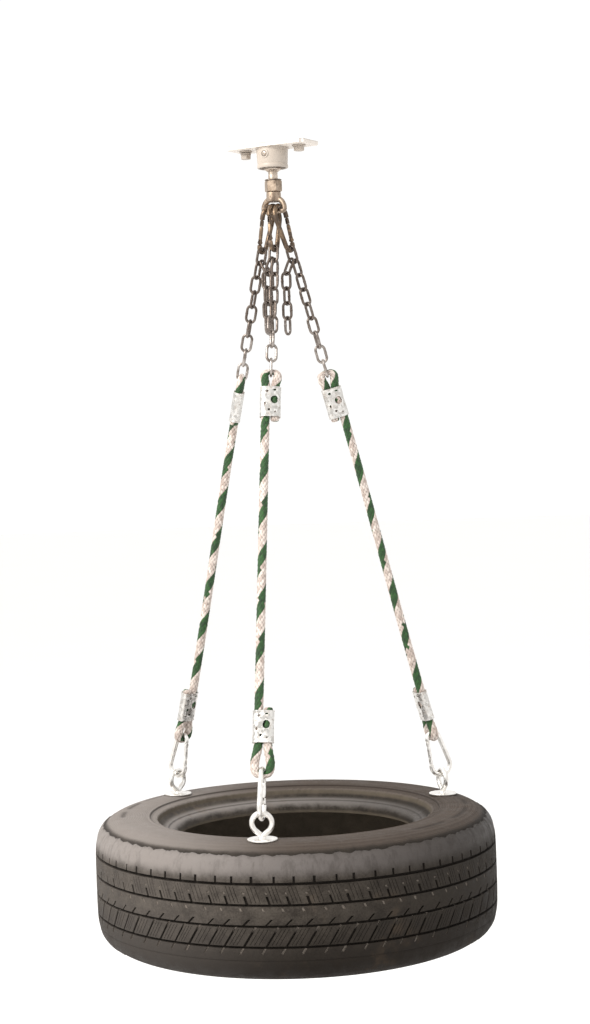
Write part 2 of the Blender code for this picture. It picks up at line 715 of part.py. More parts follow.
def rope_layout(leg):
    """Where a leg's rope and clamps go: both folds' centres and side directions, and the leg's direction."""
    _, _, line = leg_line(leg)
    last_link = chain_frames(leg)[-1]
    length = LINK_PITCH + 2 * LINK_WIRE - LINK_SINK
    top = last_link.translation + line * length
    top_side = last_link.to_3x3() @ Vector((0, 1, 0))
    hook = lower_hook_frame(leg)
    bottom = hook @ Vector((0, 0, HOOK_LENGTH))
    bottom_side = hook.to_3x3() @ Vector((0, 1, 0))
    right = Vector((math.cos(ROPE_SIDE_HEADING), math.sin(ROPE_SIDE_HEADING), 0))
    if top_side.dot(right) * leg["rope"] < 0:
        top_side = -top_side
    if bottom_side.dot(right) * leg["rope"] < 0:
        bottom_side = -bottom_side
    return top, top_side, bottom, bottom_side, line


def make_rope(name, leg):
    """The spare ends are on the far side of each fold from the working rope."""
    top, top_side, bottom, bottom_side, line = rope_layout(leg)
    clamp_end = CLAMP_TOP_DROP + CLAMP_LENGTH
    lift = leg["lift"]
    points = [
        top + line * (clamp_end + ROPE_END) - top_side * ROPE_PITCH,
        top + line * (CLAMP_TOP_DROP - ROPE_EASE / 2) - top_side * ROPE_PITCH,
    ]
    reach = LINK_WIRE + FOLD_PLAY + TOP_FOLD_PINCH
    turn, radii = fold_path(top, -line, -top_side, TOP_FOLD_PINCH, reach, TOP_FOLD_WIDTH)
    points += turn
    points += [
        top + line * (CLAMP_TOP_DROP - ROPE_EASE / 2) + top_side * ROPE_PITCH,
        top + line * (clamp_end + ROPE_EASE) + top_side * ROPE_PITCH,
        bottom - line * (lift + CLAMP_LENGTH + ROPE_EASE) + bottom_side * ROPE_PITCH,
        bottom - line * (lift - ROPE_EASE / 2) + bottom_side * ROPE_PITCH,
    ]
    reach = HOOK_WIRE + FOLD_PLAY + BOTTOM_FOLD_PINCH
    turn, more = fold_path(bottom, line, bottom_side, BOTTOM_FOLD_PINCH, reach, BOTTOM_FOLD_WIDTH)
    points += turn
    points += [
        bottom - line * (lift - ROPE_EASE / 2) - bottom_side * ROPE_PITCH,
        bottom - line * (lift + CLAMP_LENGTH + ROPE_END) - bottom_side * ROPE_PITCH,
    ]
    radii = [ROPE_RADIUS] * 2 + radii + [ROPE_RADIUS] * 4 + more + [ROPE_RADIUS] * 2
    origin = top.copy()
    curve = wire_curve(f"{name}_rope", [p - origin for p in points], ROPE_RADIUS, radii)
    add_object(f"{name}_rope", curve, "rope_fibre", Matrix.Translation(origin))


def oval(half_width, half_thickness):
    """Round-ended outline (x, y), long along x."""
    straight = half_width - half_thickness
    right = arc((straight, 0), half_thickness, -math.pi / 2, math.pi / 2, ARC_STEP)
    left = arc((-straight, 0), half_thickness, math.pi / 2, 3 * math.pi / 2, ARC_STEP)
    return right + left


def clamp_mesh():
    """Flat oval sleeve about its own middle: length along Z, long way along X."""
    curve = bpy.data.curves.new("clamp", "CURVE")
    curve.dimensions = "2D"
    curve.fill_mode = "BOTH"
    curve.extrude = CLAMP_LENGTH / 2
    inner_width = ROPE_PITCH + ROPE_RADIUS + CLAMP_PLAY
    inner_thickness = ROPE_RADIUS + CLAMP_PLAY
    for wall in (CLAMP_WALL, 0):
        outline = oval(inner_width + wall, inner_thickness + wall)
        spline = curve.splines.new("POLY")
        spline.points.add(len(outline) - 1)
        for point, (x, y) in zip(spline.points, outline):
            point.co = (x, y, 0, 1)
        spline.use_cyclic_u = True
    return curve_mesh("clamp", curve)


def make_clamp(name, centre, line, side):
    """The sleeve has one large window and two small holes, all on its +Y face."""
    place = axes_matrix(centre, line, side)
    clamp = add_object(name, CLAMP_MESH, "clamp_zinc", place)
    facing = place.to_3x3() @ Vector((0, 1, 0))
    depth = 4 * ROPE_RADIUS
    spots = (
        ("window", CLAMP_WINDOW_RADIUS, CLAMP_WINDOW_SPOT),
        ("upper_hole", CLAMP_HOLE_RADIUS, CLAMP_UPPER_HOLE_SPOT),
        ("lower_hole", CLAMP_HOLE_RADIUS, CLAMP_LOWER_HOLE_SPOT),
    )
    for spot, radius, (x, z) in spots:
        middle = place @ Vector((x, depth / 2, z))
        cutter = cutting_bar(f"{name}_{spot}", radius, depth, middle, facing)
        boolean(clamp, cutter, "DIFFERENCE")


def make_clamps(name, leg):
    top, top_side, bottom, bottom_side, line = rope_layout(leg)
    upper = top + line * (CLAMP_TOP_DROP + CLAMP_LENGTH / 2)
    make_clamp(f"{name}_upper_clamp", upper, -line, -top_side * leg["rope"])
    lower = bottom - line * (leg["lift"] + CLAMP_LENGTH / 2)
    make_clamp(f"{name}_lower_clamp", lower, -line, -bottom_side * leg["rope"])


# ---------------------------------------------------------------- tire and eyebolts


def tire_half():
    """Outer side of the casing's upper half (radius, height over the middle), tread to bead."""
    return [
        (TIRE_RADIUS, TREAD_HALF_WIDTH / 2),
        (TIRE_RADIUS - CROWN_DROP, TREAD_HALF_WIDTH),
        (TIRE_RADIUS - SHOULDER_DROP, TREAD_HALF_WIDTH + SHOULDER_ROUND),
        (TIRE_RADIUS - BUTTRESS_DROP, TIRE_HALF_WIDTH - SHOULDER_ROUND),
        (SEAT_OUTER, TIRE_HALF_WIDTH),
        (SEAT_INNER, TIRE_HALF_WIDTH),
        SIDEWALL_FOOT,
        BEAD_SHOULDER,
        (BEAD_RADIUS, BEAD_OUTER_HEIGHT),
    ]


def lining_half():
    """Inner side of the casing's upper half, bead to tread."""
    top = TIRE_HALF_WIDTH - CASING_WALL
    return [
        (BEAD_RADIUS, BEAD_INNER_HEIGHT),
        LINING_FOOT,
        (SEAT_INNER, top),
        (SEAT_OUTER, top),
        (TIRE_RADIUS - LINING_SHOULDER_DROP, top - LINING_SHOULDER_LOWERING),
        (TIRE_RADIUS - LINING_CROWN_DROP, LINING_CROWN_HALF_WIDTH),
    ]


def below(points):
    return [(r, -z) for r, z in points]


def make_tire():
    outer = tire_half()
    lining = lining_half()
    profile = list(reversed(outer)) + below(outer) + below(lining) + list(reversed(lining))
    place = Matrix.Translation((0, 0, TIRE_TOP_Z - TIRE_HALF_WIDTH))
    tire = turned("tire", profile, "tire_rubber", place, steps=FINE_STEPS)
    for name, leg in LEGS.items():
        heading = math.radians(leg["heading"])
        spot = Vector((math.cos(heading), math.sin(heading), 0)) * EYEBOLT_CIRCLE
        top = spot + UP * TIRE_TOP_Z
        hole = cutting_bar(f"{name}_bolt_hole", BOLT_RADIUS + GAP, 4 * CASING_WALL, top, UP)
        boolean(tire, hole, "DIFFERENCE")
        opposite = UP * (TIRE_TOP_Z - 2 * TIRE_HALF_WIDTH) - spot
        drain = cutting_bar(f"{name}_drain", DRAIN_RADIUS, 4 * CASING_WALL, opposite, UP)
        boolean(tire, drain, "DIFFERENCE")


def bolt_mesh():
    """Ring bent to a point at its foot. Origin at the ring's centre, ring in the XZ plane."""
    foot = BOLT_EYE_HEIGHT - BOLT_RADIUS
    slope = math.asin(BOLT_EYE_RADIUS / foot)
    loop = arc((0, 0), BOLT_EYE_RADIUS, -slope, math.pi + slope, ARC_STEP)
    loop.append((0, -foot))
    return curve_mesh("eyebolt", wire_curve("eyebolt", upright(loop), BOLT_RADIUS, cyclic=True))


def make_eyebolt(name, leg):
    heading = math.radians(leg["heading"])
    outward = Vector((math.cos(heading), math.sin(heading), 0))
    around = UP.cross(outward)
    spot = outward * EYEBOLT_CIRCLE
    place = axes_matrix(spot + UP * bolt_eye_z(), UP, around)
    bolt = add_object(f"{name}_eyebolt", BOLT_MESH, "bright_zinc", place)
    shank_top = bolt_eye_z() - BOLT_EYE_HEIGHT + BOLT_RADIUS
    shank_bottom = TIRE_TOP_Z - CASING_WALL - BOLT_BELOW
    middle = spot + UP * (shank_top + shank_bottom) / 2
    shank = cutting_bar(f"{name}_shank", BOLT_RADIUS, shank_top - shank_bottom, middle, UP)
    boolean(bolt, shank, "UNION")
    at_spot = Matrix.Translation(spot)
    inner = BOLT_RADIUS + GAP
    top_bottom = TIRE_TOP_Z + GAP
    top_washer = ring_profile(inner, BOLT_WASHER_RADIUS, top_bottom, top_bottom + BOLT_WASHER_THICKNESS)
    turned(f"{name}_top_washer", top_washer, "bright_zinc", at_spot)
    low_top = TIRE_TOP_Z - CASING_WALL - GAP
    low_washer = ring_profile(inner, BOLT_WASHER_RADIUS, low_top - BOLT_WASHER_THICKNESS, low_top)
    turned(f"{name}_inner_washer", low_washer, "bright_zinc", at_spot)
    nut_top = low_top - BOLT_WASHER_THICKNESS - GAP
    nut_middle = spot + UP * (nut_top - BOLT_NUT_HEIGHT / 2)
    circumradius = BOLT_NUT_ACROSS_FLATS / 2 / math.cos(math.pi / 6)
    nut_mesh = bar_mesh("bolt_nut", circumradius, BOLT_NUT_HEIGHT, 6)
    nut = add_object(f"{name}_nut", nut_mesh, "bright_zinc", Matrix.Translation(nut_middle))
    boolean(nut, cutting_bar(f"{name}_nut_bore", inner, 3 * BOLT_NUT_HEIGHT, nut_middle, UP), "DIFFERENCE")


def make_leg(name, leg):
    make_hook(f"{name}_upper", upper_hook_frame(leg), "bronzed_steel")
    make_strand(f"{name}_chain", chain_frames(leg), leg_line(leg)[0])
    make_strand(f"{name}_chain_tail", tail_frames(leg), tail_hinge(leg))
    make_rope(name, leg)
    make_clamps(name, leg)
    make_hook(f"{name}_lower", lower_hook_frame(leg), "bright_zinc")
    make_eyebolt(name, leg)


# ---------------------------------------------------------------- joints


HANGER_ENDS = ("_hook", "_gate", "_chain", "_tail", "_rope", "_clamp", "_eyebolt", "_washer", "_nut")
ROCKER_PIECES = ("rocker_block", "lower_race", "gland_bushing")
SPINDLE_PIECES = ("thrust_ball_ring", "spindle", "spindle_washer", "spindle_lock_nut", "swivel_eye")


def joint_empty(name, location, parent):
    empty = bpy.data.objects.new(name, None)
    SWING.objects.link(empty)
    empty.location = location
    bpy.context.view_layer.update()
    hang_on(empty, parent)
    return empty


def hang_on(obj, parent):
    if parent is not None:
        obj.parent = parent
        obj.matrix_parent_inverse = parent.matrix_world.inverted()
        bpy.context.view_layer.update()


def rig_joints():
    """Parents each moving group to an empty on its joint's axis: rocker, then spindle, then hanger."""
    rocker = joint_empty("rocker_axis", (0, 0, PIN_Z), None)
    spindle = joint_empty("spindle_axis", (0, 0, HEAD_BOTTOM_Z), rocker)
    hanger = joint_empty("hanger_axis", (0, 0, EYE_BAR_Z), spindle)
    for obj in list(SWING.objects):
        if obj.type == "EMPTY":
            continue
        if obj.name in ROCKER_PIECES:
            hang_on(obj, rocker)
        elif obj.name in SPINDLE_PIECES:
            hang_on(obj, spindle)
        elif obj.name == "tire" or (obj.name.split("_")[0] in LEGS and obj.name.endswith(HANGER_ENDS)):
            hang_on(obj, hanger)


clear_scene()
SWING = new_collection("tire_swing")
CUTTERS = new_collection("cutters")
LOOKS = make_materials()
HOOK_MESH = hook_body_mesh()
LINK_MESH = link_mesh()
CLAMP_MESH = clamp_mesh()
BOLT_MESH = bolt_mesh()
make_plate()
make_screw(-1, "left", True)
make_screw(1, "right", False)
make_cup()
make_pin()
make_block()
make_bearing()
make_spindle()
make_eye()
for leg_name, leg_plan in LEGS.items():
    make_leg(leg_name, leg_plan)
make_tire()
rig_joints()
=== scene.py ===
"""Looks of the tire swing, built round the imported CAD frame.

+Z up, in the CAD's own frame. Lengths are millimetres until a mesh is made, and metres in the materials. Each leg is
laid out again from the record's joints and the CAD boxes: the hooks from their gates' hinges, the spare chains from
their own hinges, the eyebolts from their washers.
"""

import json
import random
from math import asin, atan2, copysign, cos, exp, pi, radians, sin, tan

import bmesh
import bpy
import numpy as np
from mathutils import Matrix, Vector, geometry, noise


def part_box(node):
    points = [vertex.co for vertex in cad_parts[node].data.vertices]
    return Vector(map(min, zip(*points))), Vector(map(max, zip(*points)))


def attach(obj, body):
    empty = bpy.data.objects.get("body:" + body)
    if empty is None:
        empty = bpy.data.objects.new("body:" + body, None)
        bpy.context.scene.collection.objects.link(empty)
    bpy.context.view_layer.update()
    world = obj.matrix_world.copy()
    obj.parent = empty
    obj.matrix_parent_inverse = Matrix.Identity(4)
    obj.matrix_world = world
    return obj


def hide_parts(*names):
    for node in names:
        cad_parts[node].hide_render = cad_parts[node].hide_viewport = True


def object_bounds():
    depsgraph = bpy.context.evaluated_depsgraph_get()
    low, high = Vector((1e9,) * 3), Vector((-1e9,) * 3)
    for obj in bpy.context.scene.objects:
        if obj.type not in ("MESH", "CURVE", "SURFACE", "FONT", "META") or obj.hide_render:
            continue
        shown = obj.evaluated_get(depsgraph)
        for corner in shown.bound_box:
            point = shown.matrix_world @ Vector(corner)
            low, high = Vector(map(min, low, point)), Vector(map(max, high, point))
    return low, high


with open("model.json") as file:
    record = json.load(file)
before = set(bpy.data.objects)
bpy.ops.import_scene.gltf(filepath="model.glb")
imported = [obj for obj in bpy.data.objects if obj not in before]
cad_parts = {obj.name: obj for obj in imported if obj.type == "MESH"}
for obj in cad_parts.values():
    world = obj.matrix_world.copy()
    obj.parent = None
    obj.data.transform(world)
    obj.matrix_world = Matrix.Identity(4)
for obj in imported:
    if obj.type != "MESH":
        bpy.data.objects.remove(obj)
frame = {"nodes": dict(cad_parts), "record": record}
CAD_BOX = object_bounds()
JOINTS = {joint["name"]: joint for joint in frame["record"]["behaviour"]["joints"]}

MM = 0.001
AXIS_RADIUS = 0.02
UP = Vector((0, 0, 1))
PLATE_LINE = Vector((1, 0, 0))
PIN_LINE = Vector((0, 1, 0))
VIEW_HEADING = radians(32)
VIEW_RIGHT = Vector((cos(VIEW_HEADING), sin(VIEW_HEADING), 0))

# Hooks, as in the CAD
HOOK_WIRE = 3.8
HOOK_LENGTH = 72.4
HOOK_WIDE = 16.2
HOOK_NARROW = 10.3
GATE_RADIUS = 3.1
GATE_SETBACK = 6.2
GATE_PLAY = 0.6
NOSE_REACH = 3
WIRE_PLAY = 0.5

# Chain, as in the CAD
LINK_WIRE = 2.15
LINK_PITCH = 23.5
LINK_HALF_WIDTH = 7.35
LINK_SINK = 0.6
LINK_LENGTH = LINK_PITCH + 2 * LINK_WIRE - LINK_SINK
CHAIN_LINKS = 9
TAIL_LINKS = 5
LINK_OFFSET = 2.6
SHARED_LINK_DROP = 4.95
TAIL_LEAN = radians(25)

# Rope and clamps, as in the CAD. A fold: the pinched rope's half thickness, the wire it lies on, its half width
ROPE_RADIUS = 7
ROPE_PITCH = 7.35
TOP_FOLD = (4, LINK_WIRE, 9.9)
BOTTOM_FOLD = (5.3, HOOK_WIRE, 11.4)
FOLD_PLAY = 0.6
ROPE_END = 6
ROPE_EASE = 8
CLAMP_LENGTH = 48
CLAMP_WALL = 1.3
CLAMP_PLAY = 0.6
CLAMP_TOP_DROP = 19

# Eyebolts, as in the CAD
BOLT_RADIUS = 4
BOLT_EYE_RADIUS = 15
BOLT_EYE_HEIGHT = 22.5

# Each leg: which side of the top link the working chain takes, the heading of the upper rope fold, which
# side of the lower fold the working rope takes, and the lower clamp's height above the hook
LEGS = {
    "front": dict(chain=1, fold=32, rope=-1, lift=38),
    "right": dict(chain=1, fold=32, rope=1, lift=24),
    "left": dict(chain=-1, fold=122, rope=1, lift=26),
}


# ------------ meshes


def circle(steps):
    return np.arange(steps) * 2 * pi / steps


def ringed(radius, angles, height):
    """Points round the Z axis, from numbers or arrays."""
    return np.stack(np.broadcast_arrays(radius * np.cos(angles), radius * np.sin(angles), height), -1)


def bump_at(values, middle, spread):
    """A smooth bump of height 1 round the middle value."""
    return np.exp(-(((values - middle) / spread) ** 2))


def setup(thing, **settings):
    """Sets several properties of a Blender thing at once."""
    for key, value in settings.items():
        setattr(thing, key, value)
    return thing


def new_object(name, data):
    obj = bpy.data.objects.new(name, data)
    bpy.context.scene.collection.objects.link(obj)
    return obj


class Shape:
    """Vertices and faces of one piece, gathered from several closed forms."""

    def __init__(self):
        self.points = []
        self.faces = []

    def grid(self, points, wrap_rows=False, place=None):
        """points is (rows, cols, 3), and each row closes on itself. Open ends get one flat face each."""
        points = np.asarray(points)
        rows, cols = points.shape[:2]
        here = sum(map(len, self.points)) + np.arange(rows * cols).reshape(rows, cols)
        below = np.roll(here, -1, 0)
        quads = np.stack([here, np.roll(here, -1, 1), np.roll(below, -1, 1), below], -1)
        self.faces += quads[: rows - (not wrap_rows)].reshape(-1, 4).tolist()
        if not wrap_rows:
            self.faces += [here[0, ::-1].tolist(), here[-1].tolist()]
        flat = points.reshape(-1, 3)
        if place is not None:
            flat = flat @ np.array(place.to_3x3()).T + np.array(place.translation)
        self.points.append(flat)
        return self

    def lathe(self, profile, place=None, steps=48, closed=True):
        """profile holds (radius, z) down the outer side. An open one starts and ends on the axis."""
        r, z = np.array(profile, float).T[..., None]
        return self.grid(ringed(np.maximum(r, AXIS_RADIUS), circle(steps), z), closed, place)

    def sweep(self, path, radii, sides, cyclic=False, normal=PIN_LINE, place=None):
        """Tube round a path. radii is one number, or a list of numbers or (in plane, out of plane) pairs."""
        return self.grid(tube(path, radii, sides, cyclic, normal), cyclic, place)

    def done(self, name, look, body, *nodes, sharp=38, **marks):
        """marks are one number per point, or rows of them, for the materials."""
        mesh = bpy.data.meshes.new(name)
        mesh.from_pydata(np.concatenate(self.points) * MM, [], self.faces)
        for mark, values in marks.items():
            layer = mesh.attributes.new(mark, "FLOAT", "POINT")
            layer.data.foreach_set("value", np.asarray(values, np.float32).ravel())
        return finished(name, mesh, sharp, look, body, *nodes)


def finished(name, mesh, sharp, look, body, *nodes):
    work = bmesh.new()
    work.from_mesh(mesh)
    bmesh.ops.delete(work, geom=[v for v in work.verts if not v.link_faces], context="VERTS")
    bmesh.ops.recalc_face_normals(work, faces=work.faces)
    work.to_mesh(mesh)
    work.free()
    mesh.shade_smooth()
    mesh.set_sharp_from_angle(angle=radians(sharp))
    slot, material = LOOKS[look]
    mesh.materials.append(material)
    obj = new_object(name, mesh)
    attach(obj, body)
    if nodes:
        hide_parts(*nodes)
    return obj


def unit(v):
    return v / np.linalg.norm(v, axis=-1, keepdims=True)


def tangents(path, cyclic):
    if cyclic:
        return unit(np.roll(path, -1, 0) - np.roll(path, 1, 0))
    return unit(np.vstack([path[1:], path[-1:]]) - np.vstack([path[:1], path[:-1]]))


def carried_axes(along):
    """A cross axis at each point, carried along the path without twist."""
    axis = np.array((0.3, 0.9, 0.1))
    axes = []
    for t in along:
        axis = unit(axis - t * (axis @ t))
        axes.append(axis)
    return np.array(axes)


def tube(path, radii, sides, cyclic, normal):
    """Rings of points round a path, flat across the normal, or carried along without twist if there is none."""
    path = np.asarray(path, float)
    along = tangents(path, cyclic)
    across = unit(np.cross(np.array(normal, float), along)) if normal else carried_axes(along)
    out = np.cross(along, across)
    if np.isscalar(radii):
        radii = [radii] * len(path)
    radii = np.array([(r, r) if np.isscalar(r) else r for r in radii])
    angles = circle(sides)[None, :, None]
    ring = across[:, None] * (radii[:, 0, None, None] * np.cos(angles))
    return path[:, None] + ring + out[:, None] * (radii[:, 1, None, None] * np.sin(angles))


def arc(centre, radius, start, end, count):
    return [(centre[0] + radius * cos(a), 0, centre[1] + radius * sin(a)) for a in np.linspace(start, end, count)]


def straight(a, b, count):
    return [tuple(p) for p in np.linspace(a, b, count)]


def axes_matrix(origin, z_axis, x_hint):
    z = z_axis.normalized()
    x = square_to(x_hint, z)
    return Matrix.Translation(origin) @ Matrix((x, z.cross(x), z)).transposed().to_4x4()


def square_to(vector, line):
    return (vector - line * vector.dot(line)).normalized()


def box_of(node):
    """Low corner, high corner and middle of a CAD node's box."""
    lo, hi = (Vector(corner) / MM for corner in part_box(node))
    return lo, hi, (lo + hi) / 2


def upright(point):
    return Matrix.Translation((point.x, point.y, 0))


def hinge_of(joint):
    return Vector(JOINTS[joint]["pos_m"]) / MM


# ------------ materials


class Value:
    """An output in a material's node tree, open to arithmetic."""

    def __init__(self, made, socket):
        self.made = made
        self.socket = socket

    def math(self, operation, other=0, clamp=False):
        return self.made.node("Math", 0, (self, other), operation=operation, use_clamp=clamp)

    def __add__(self, other):
        return self.math("ADD", other)

    def __sub__(self, other):
        return self.math("SUBTRACT", other)

    def __mul__(self, other):
        return self.math("MULTIPLY", other)

    def span(self, low, high, to_low=0, to_high=1):
        """Eases from to_low to to_high as the value goes from low to high."""
        values = (self, low, high, to_low, to_high)
        return self.made.node("MapRange", 0, values, interpolation_type="SMOOTHSTEP")


class Nodes:
    """A Principled material whose node tree is built by short calls."""

    def __init__(self, name):
        self.material = bpy.data.materials.new(name)
        self.material.use_nodes = True
        self.tree = self.material.node_tree
        self.shader = self.tree.nodes["Principled BSDF"]
        self.coords = self.node("TexCoord", "Object", ())

    def node(self, kind, output, values, **settings):
        """Adds a node. values are its inputs, in order or by name."""
        node = setup(self.tree.nodes.new("ShaderNode" + kind), **settings)
        for key, value in values.items() if isinstance(values, dict) else enumerate(values):
            self.put(node.inputs[key], value)
        return Value(self, node.outputs[output])

    def put(self, socket, value):
        if isinstance(value, Value):
            self.tree.links.new(value.socket, socket)
        elif isinstance(value, tuple) and socket.type == "RGBA":
            socket.default_value = (*value, 1)
        else:
            socket.default_value = value

    def noise(self, scale, detail=4, roughness=0.55, coords=None, distortion=0):
        values = dict(Vector=coords or self.coords, Scale=scale, Detail=detail, Roughness=roughness)
        return self.node("TexNoise", "Fac", dict(values, Distortion=distortion))

    def voronoi(self, scale, output):
        return self.node("TexVoronoi", output, dict(Vector=self.coords, Scale=scale))

    def stretched(self, scale):
        return self.node("Mapping", "Vector", dict(Vector=self.coords, Scale=scale))

    def mix(self, share, a, b, mode="MIX"):
        return self.node("Mix", 2, {"Factor": share, 6: a, 7: b}, data_type="RGBA", blend_type=mode)

    def coats(self, color, *coats):
        """Lays each (share, tint) over the colour."""
        for share, tint in coats:
            color = self.mix(share, color, tint)
        return color

    def mark(self, name):
        return self.node("Attribute", "Fac", (), attribute_name=name)

    def part(self, index, vector=None):
        return self.node("SeparateXYZ", index, (vector or self.coords,))

    def joined(self, x, y, z):
        return self.node("CombineXYZ", 0, (x, y, z))

    def bump(self, height, distance, strength):
        bumped = self.node("Bump", "Normal", dict(Distance=distance, Strength=strength, Height=height))
        self.put(self.shader.inputs["Normal"], bumped)

    def end(self, color, roughness, metallic=0, **more):
        given = {"Base Color": color, "Roughness": roughness, "Metallic": metallic}
        for key, value in (given | more).items():
            self.put(self.shader.inputs[key.replace("_", " ")], value)
        return self.material


def metal(name, light, dark, spots, spot_share, roughness, grime=None):
    """Plated steel: streaky tone, tarnish spots and fine scratches. grime is a (clean, grimy) pair of heights."""
    made = Nodes(name)
    color = made.mix(made.noise(90, 6).span(0.35, 0.65), dark, light)
    if grime:
        color = made.mix(made.part(2).span(*grime, 0, 0.8), color, spots)
    fine = made.noise(540, 5, 0.7)
    stains = made.noise(72, 8, 0.65, distortion=0.4).span(0.62 - spot_share, 0.72 - spot_share)
    color = made.mix(stains * 0.85, color, spots)
    rough = fine.span(0.3, 0.7, roughness - 0.1, roughness + 0.14).math("ADD", stains * 0.22, clamp=True)
    scratches = made.noise(900, 3, 0.8, made.stretched((1, 1, 0.12)))
    made.bump(fine * 0.6 + scratches, 0.06 * MM, 0.8)
    return made.end(color, rough, stains.span(0, 1, 0.95, 0.35))


def cream_paint(name, dark, light):
    made = Nodes(name)
    dirt = made.noise(140, 9, 0.7).span(0.5, 0.75)
    chips = made.noise(150, 6, 0.6, distortion=0.8).span(0.69, 0.72)
    scrubbed = made.noise(60, 7, 0.7, made.stretched((0.25, 1, 1))).span(0.35, 0.62, 0.45, 0.95)
    # Painted shade on the plate's top face, where the beam would cover it, laid on in scrubbed streaks
    beam_shade_top = made.part(2).span(-0.9 * MM, -0.4 * MM)
    color = made.coats(
        made.mix(made.noise(35, 5), dark, light),
        (dirt * 0.22, (0.33, 0.25, 0.18)),
        (chips, (0.2, 0.11, 0.06)),
        (beam_shade_top * scrubbed, (0.23, 0.185, 0.145)),
    )
    made.bump(made.noise(700, 2) * 0.5 - chips, 0.12 * MM, 0.7)
    return made.end(color, chips.span(0, 1, 0.42, 0.8))


def clamp_sheet():
    """Galvanised sheet: flat spangles of slightly different tone, and pressed scuffs."""
    made = Nodes("clamp_sheet")
    tone = made.part(0, made.voronoi(240, "Color"))
    color = made.mix(tone, (0.5, 0.485, 0.46), (0.79, 0.775, 0.75))
    stains = made.noise(150, 8, 0.7).span(0.5, 0.68)
    color = made.mix(stains * 0.75, color, (0.36, 0.3, 0.25))
    made.bump(made.noise(420, 5, 0.65), 0.12 * MM, 0.8)
    return made.end(color, tone.span(0, 1, 0.22, 0.38) + stains * 0.25, stains.span(0, 1, 0.9, 0.55))


def rope_fibre():
    """Green and white strands. The mesh marks each stitch's colour, its own random tone, and by its depth the painted
    shade in the valleys between stitches.
    """
    made = Nodes("rope_fibre")
    shade = made.mark("shade")
    green = made.mix(shade, (0.006, 0.034, 0.007), (0.019, 0.088, 0.015))
    white = made.mix(shade, (0.4, 0.32, 0.28), (0.72, 0.64, 0.585))
    dirt = made.noise(70, 6, 0.65).span(0.52, 0.72)
    color = made.coats(
        white,
        (dirt * 0.6, (0.34, 0.25, 0.2)),
        (made.mark("green"), green),
        # Painted shade in the valleys between stitches
        (made.mark("valley"), (0.035, 0.03, 0.025)),
    )
    threads = made.noise(2600, 2, 0.6, made.stretched((1, 1, 0.35)))
    color = made.mix(threads.span(0.35, 0.75, 0, 0.22), color, (0.9, 0.86, 0.8), "SOFT_LIGHT")
    made.bump(threads, 0.25 * MM, 0.8)
    return made.end(color, threads.span(0.3, 0.7, 0.62, 0.85), Sheen_Weight=0.15)


RUBBER_RIB_PITCH = 2.6


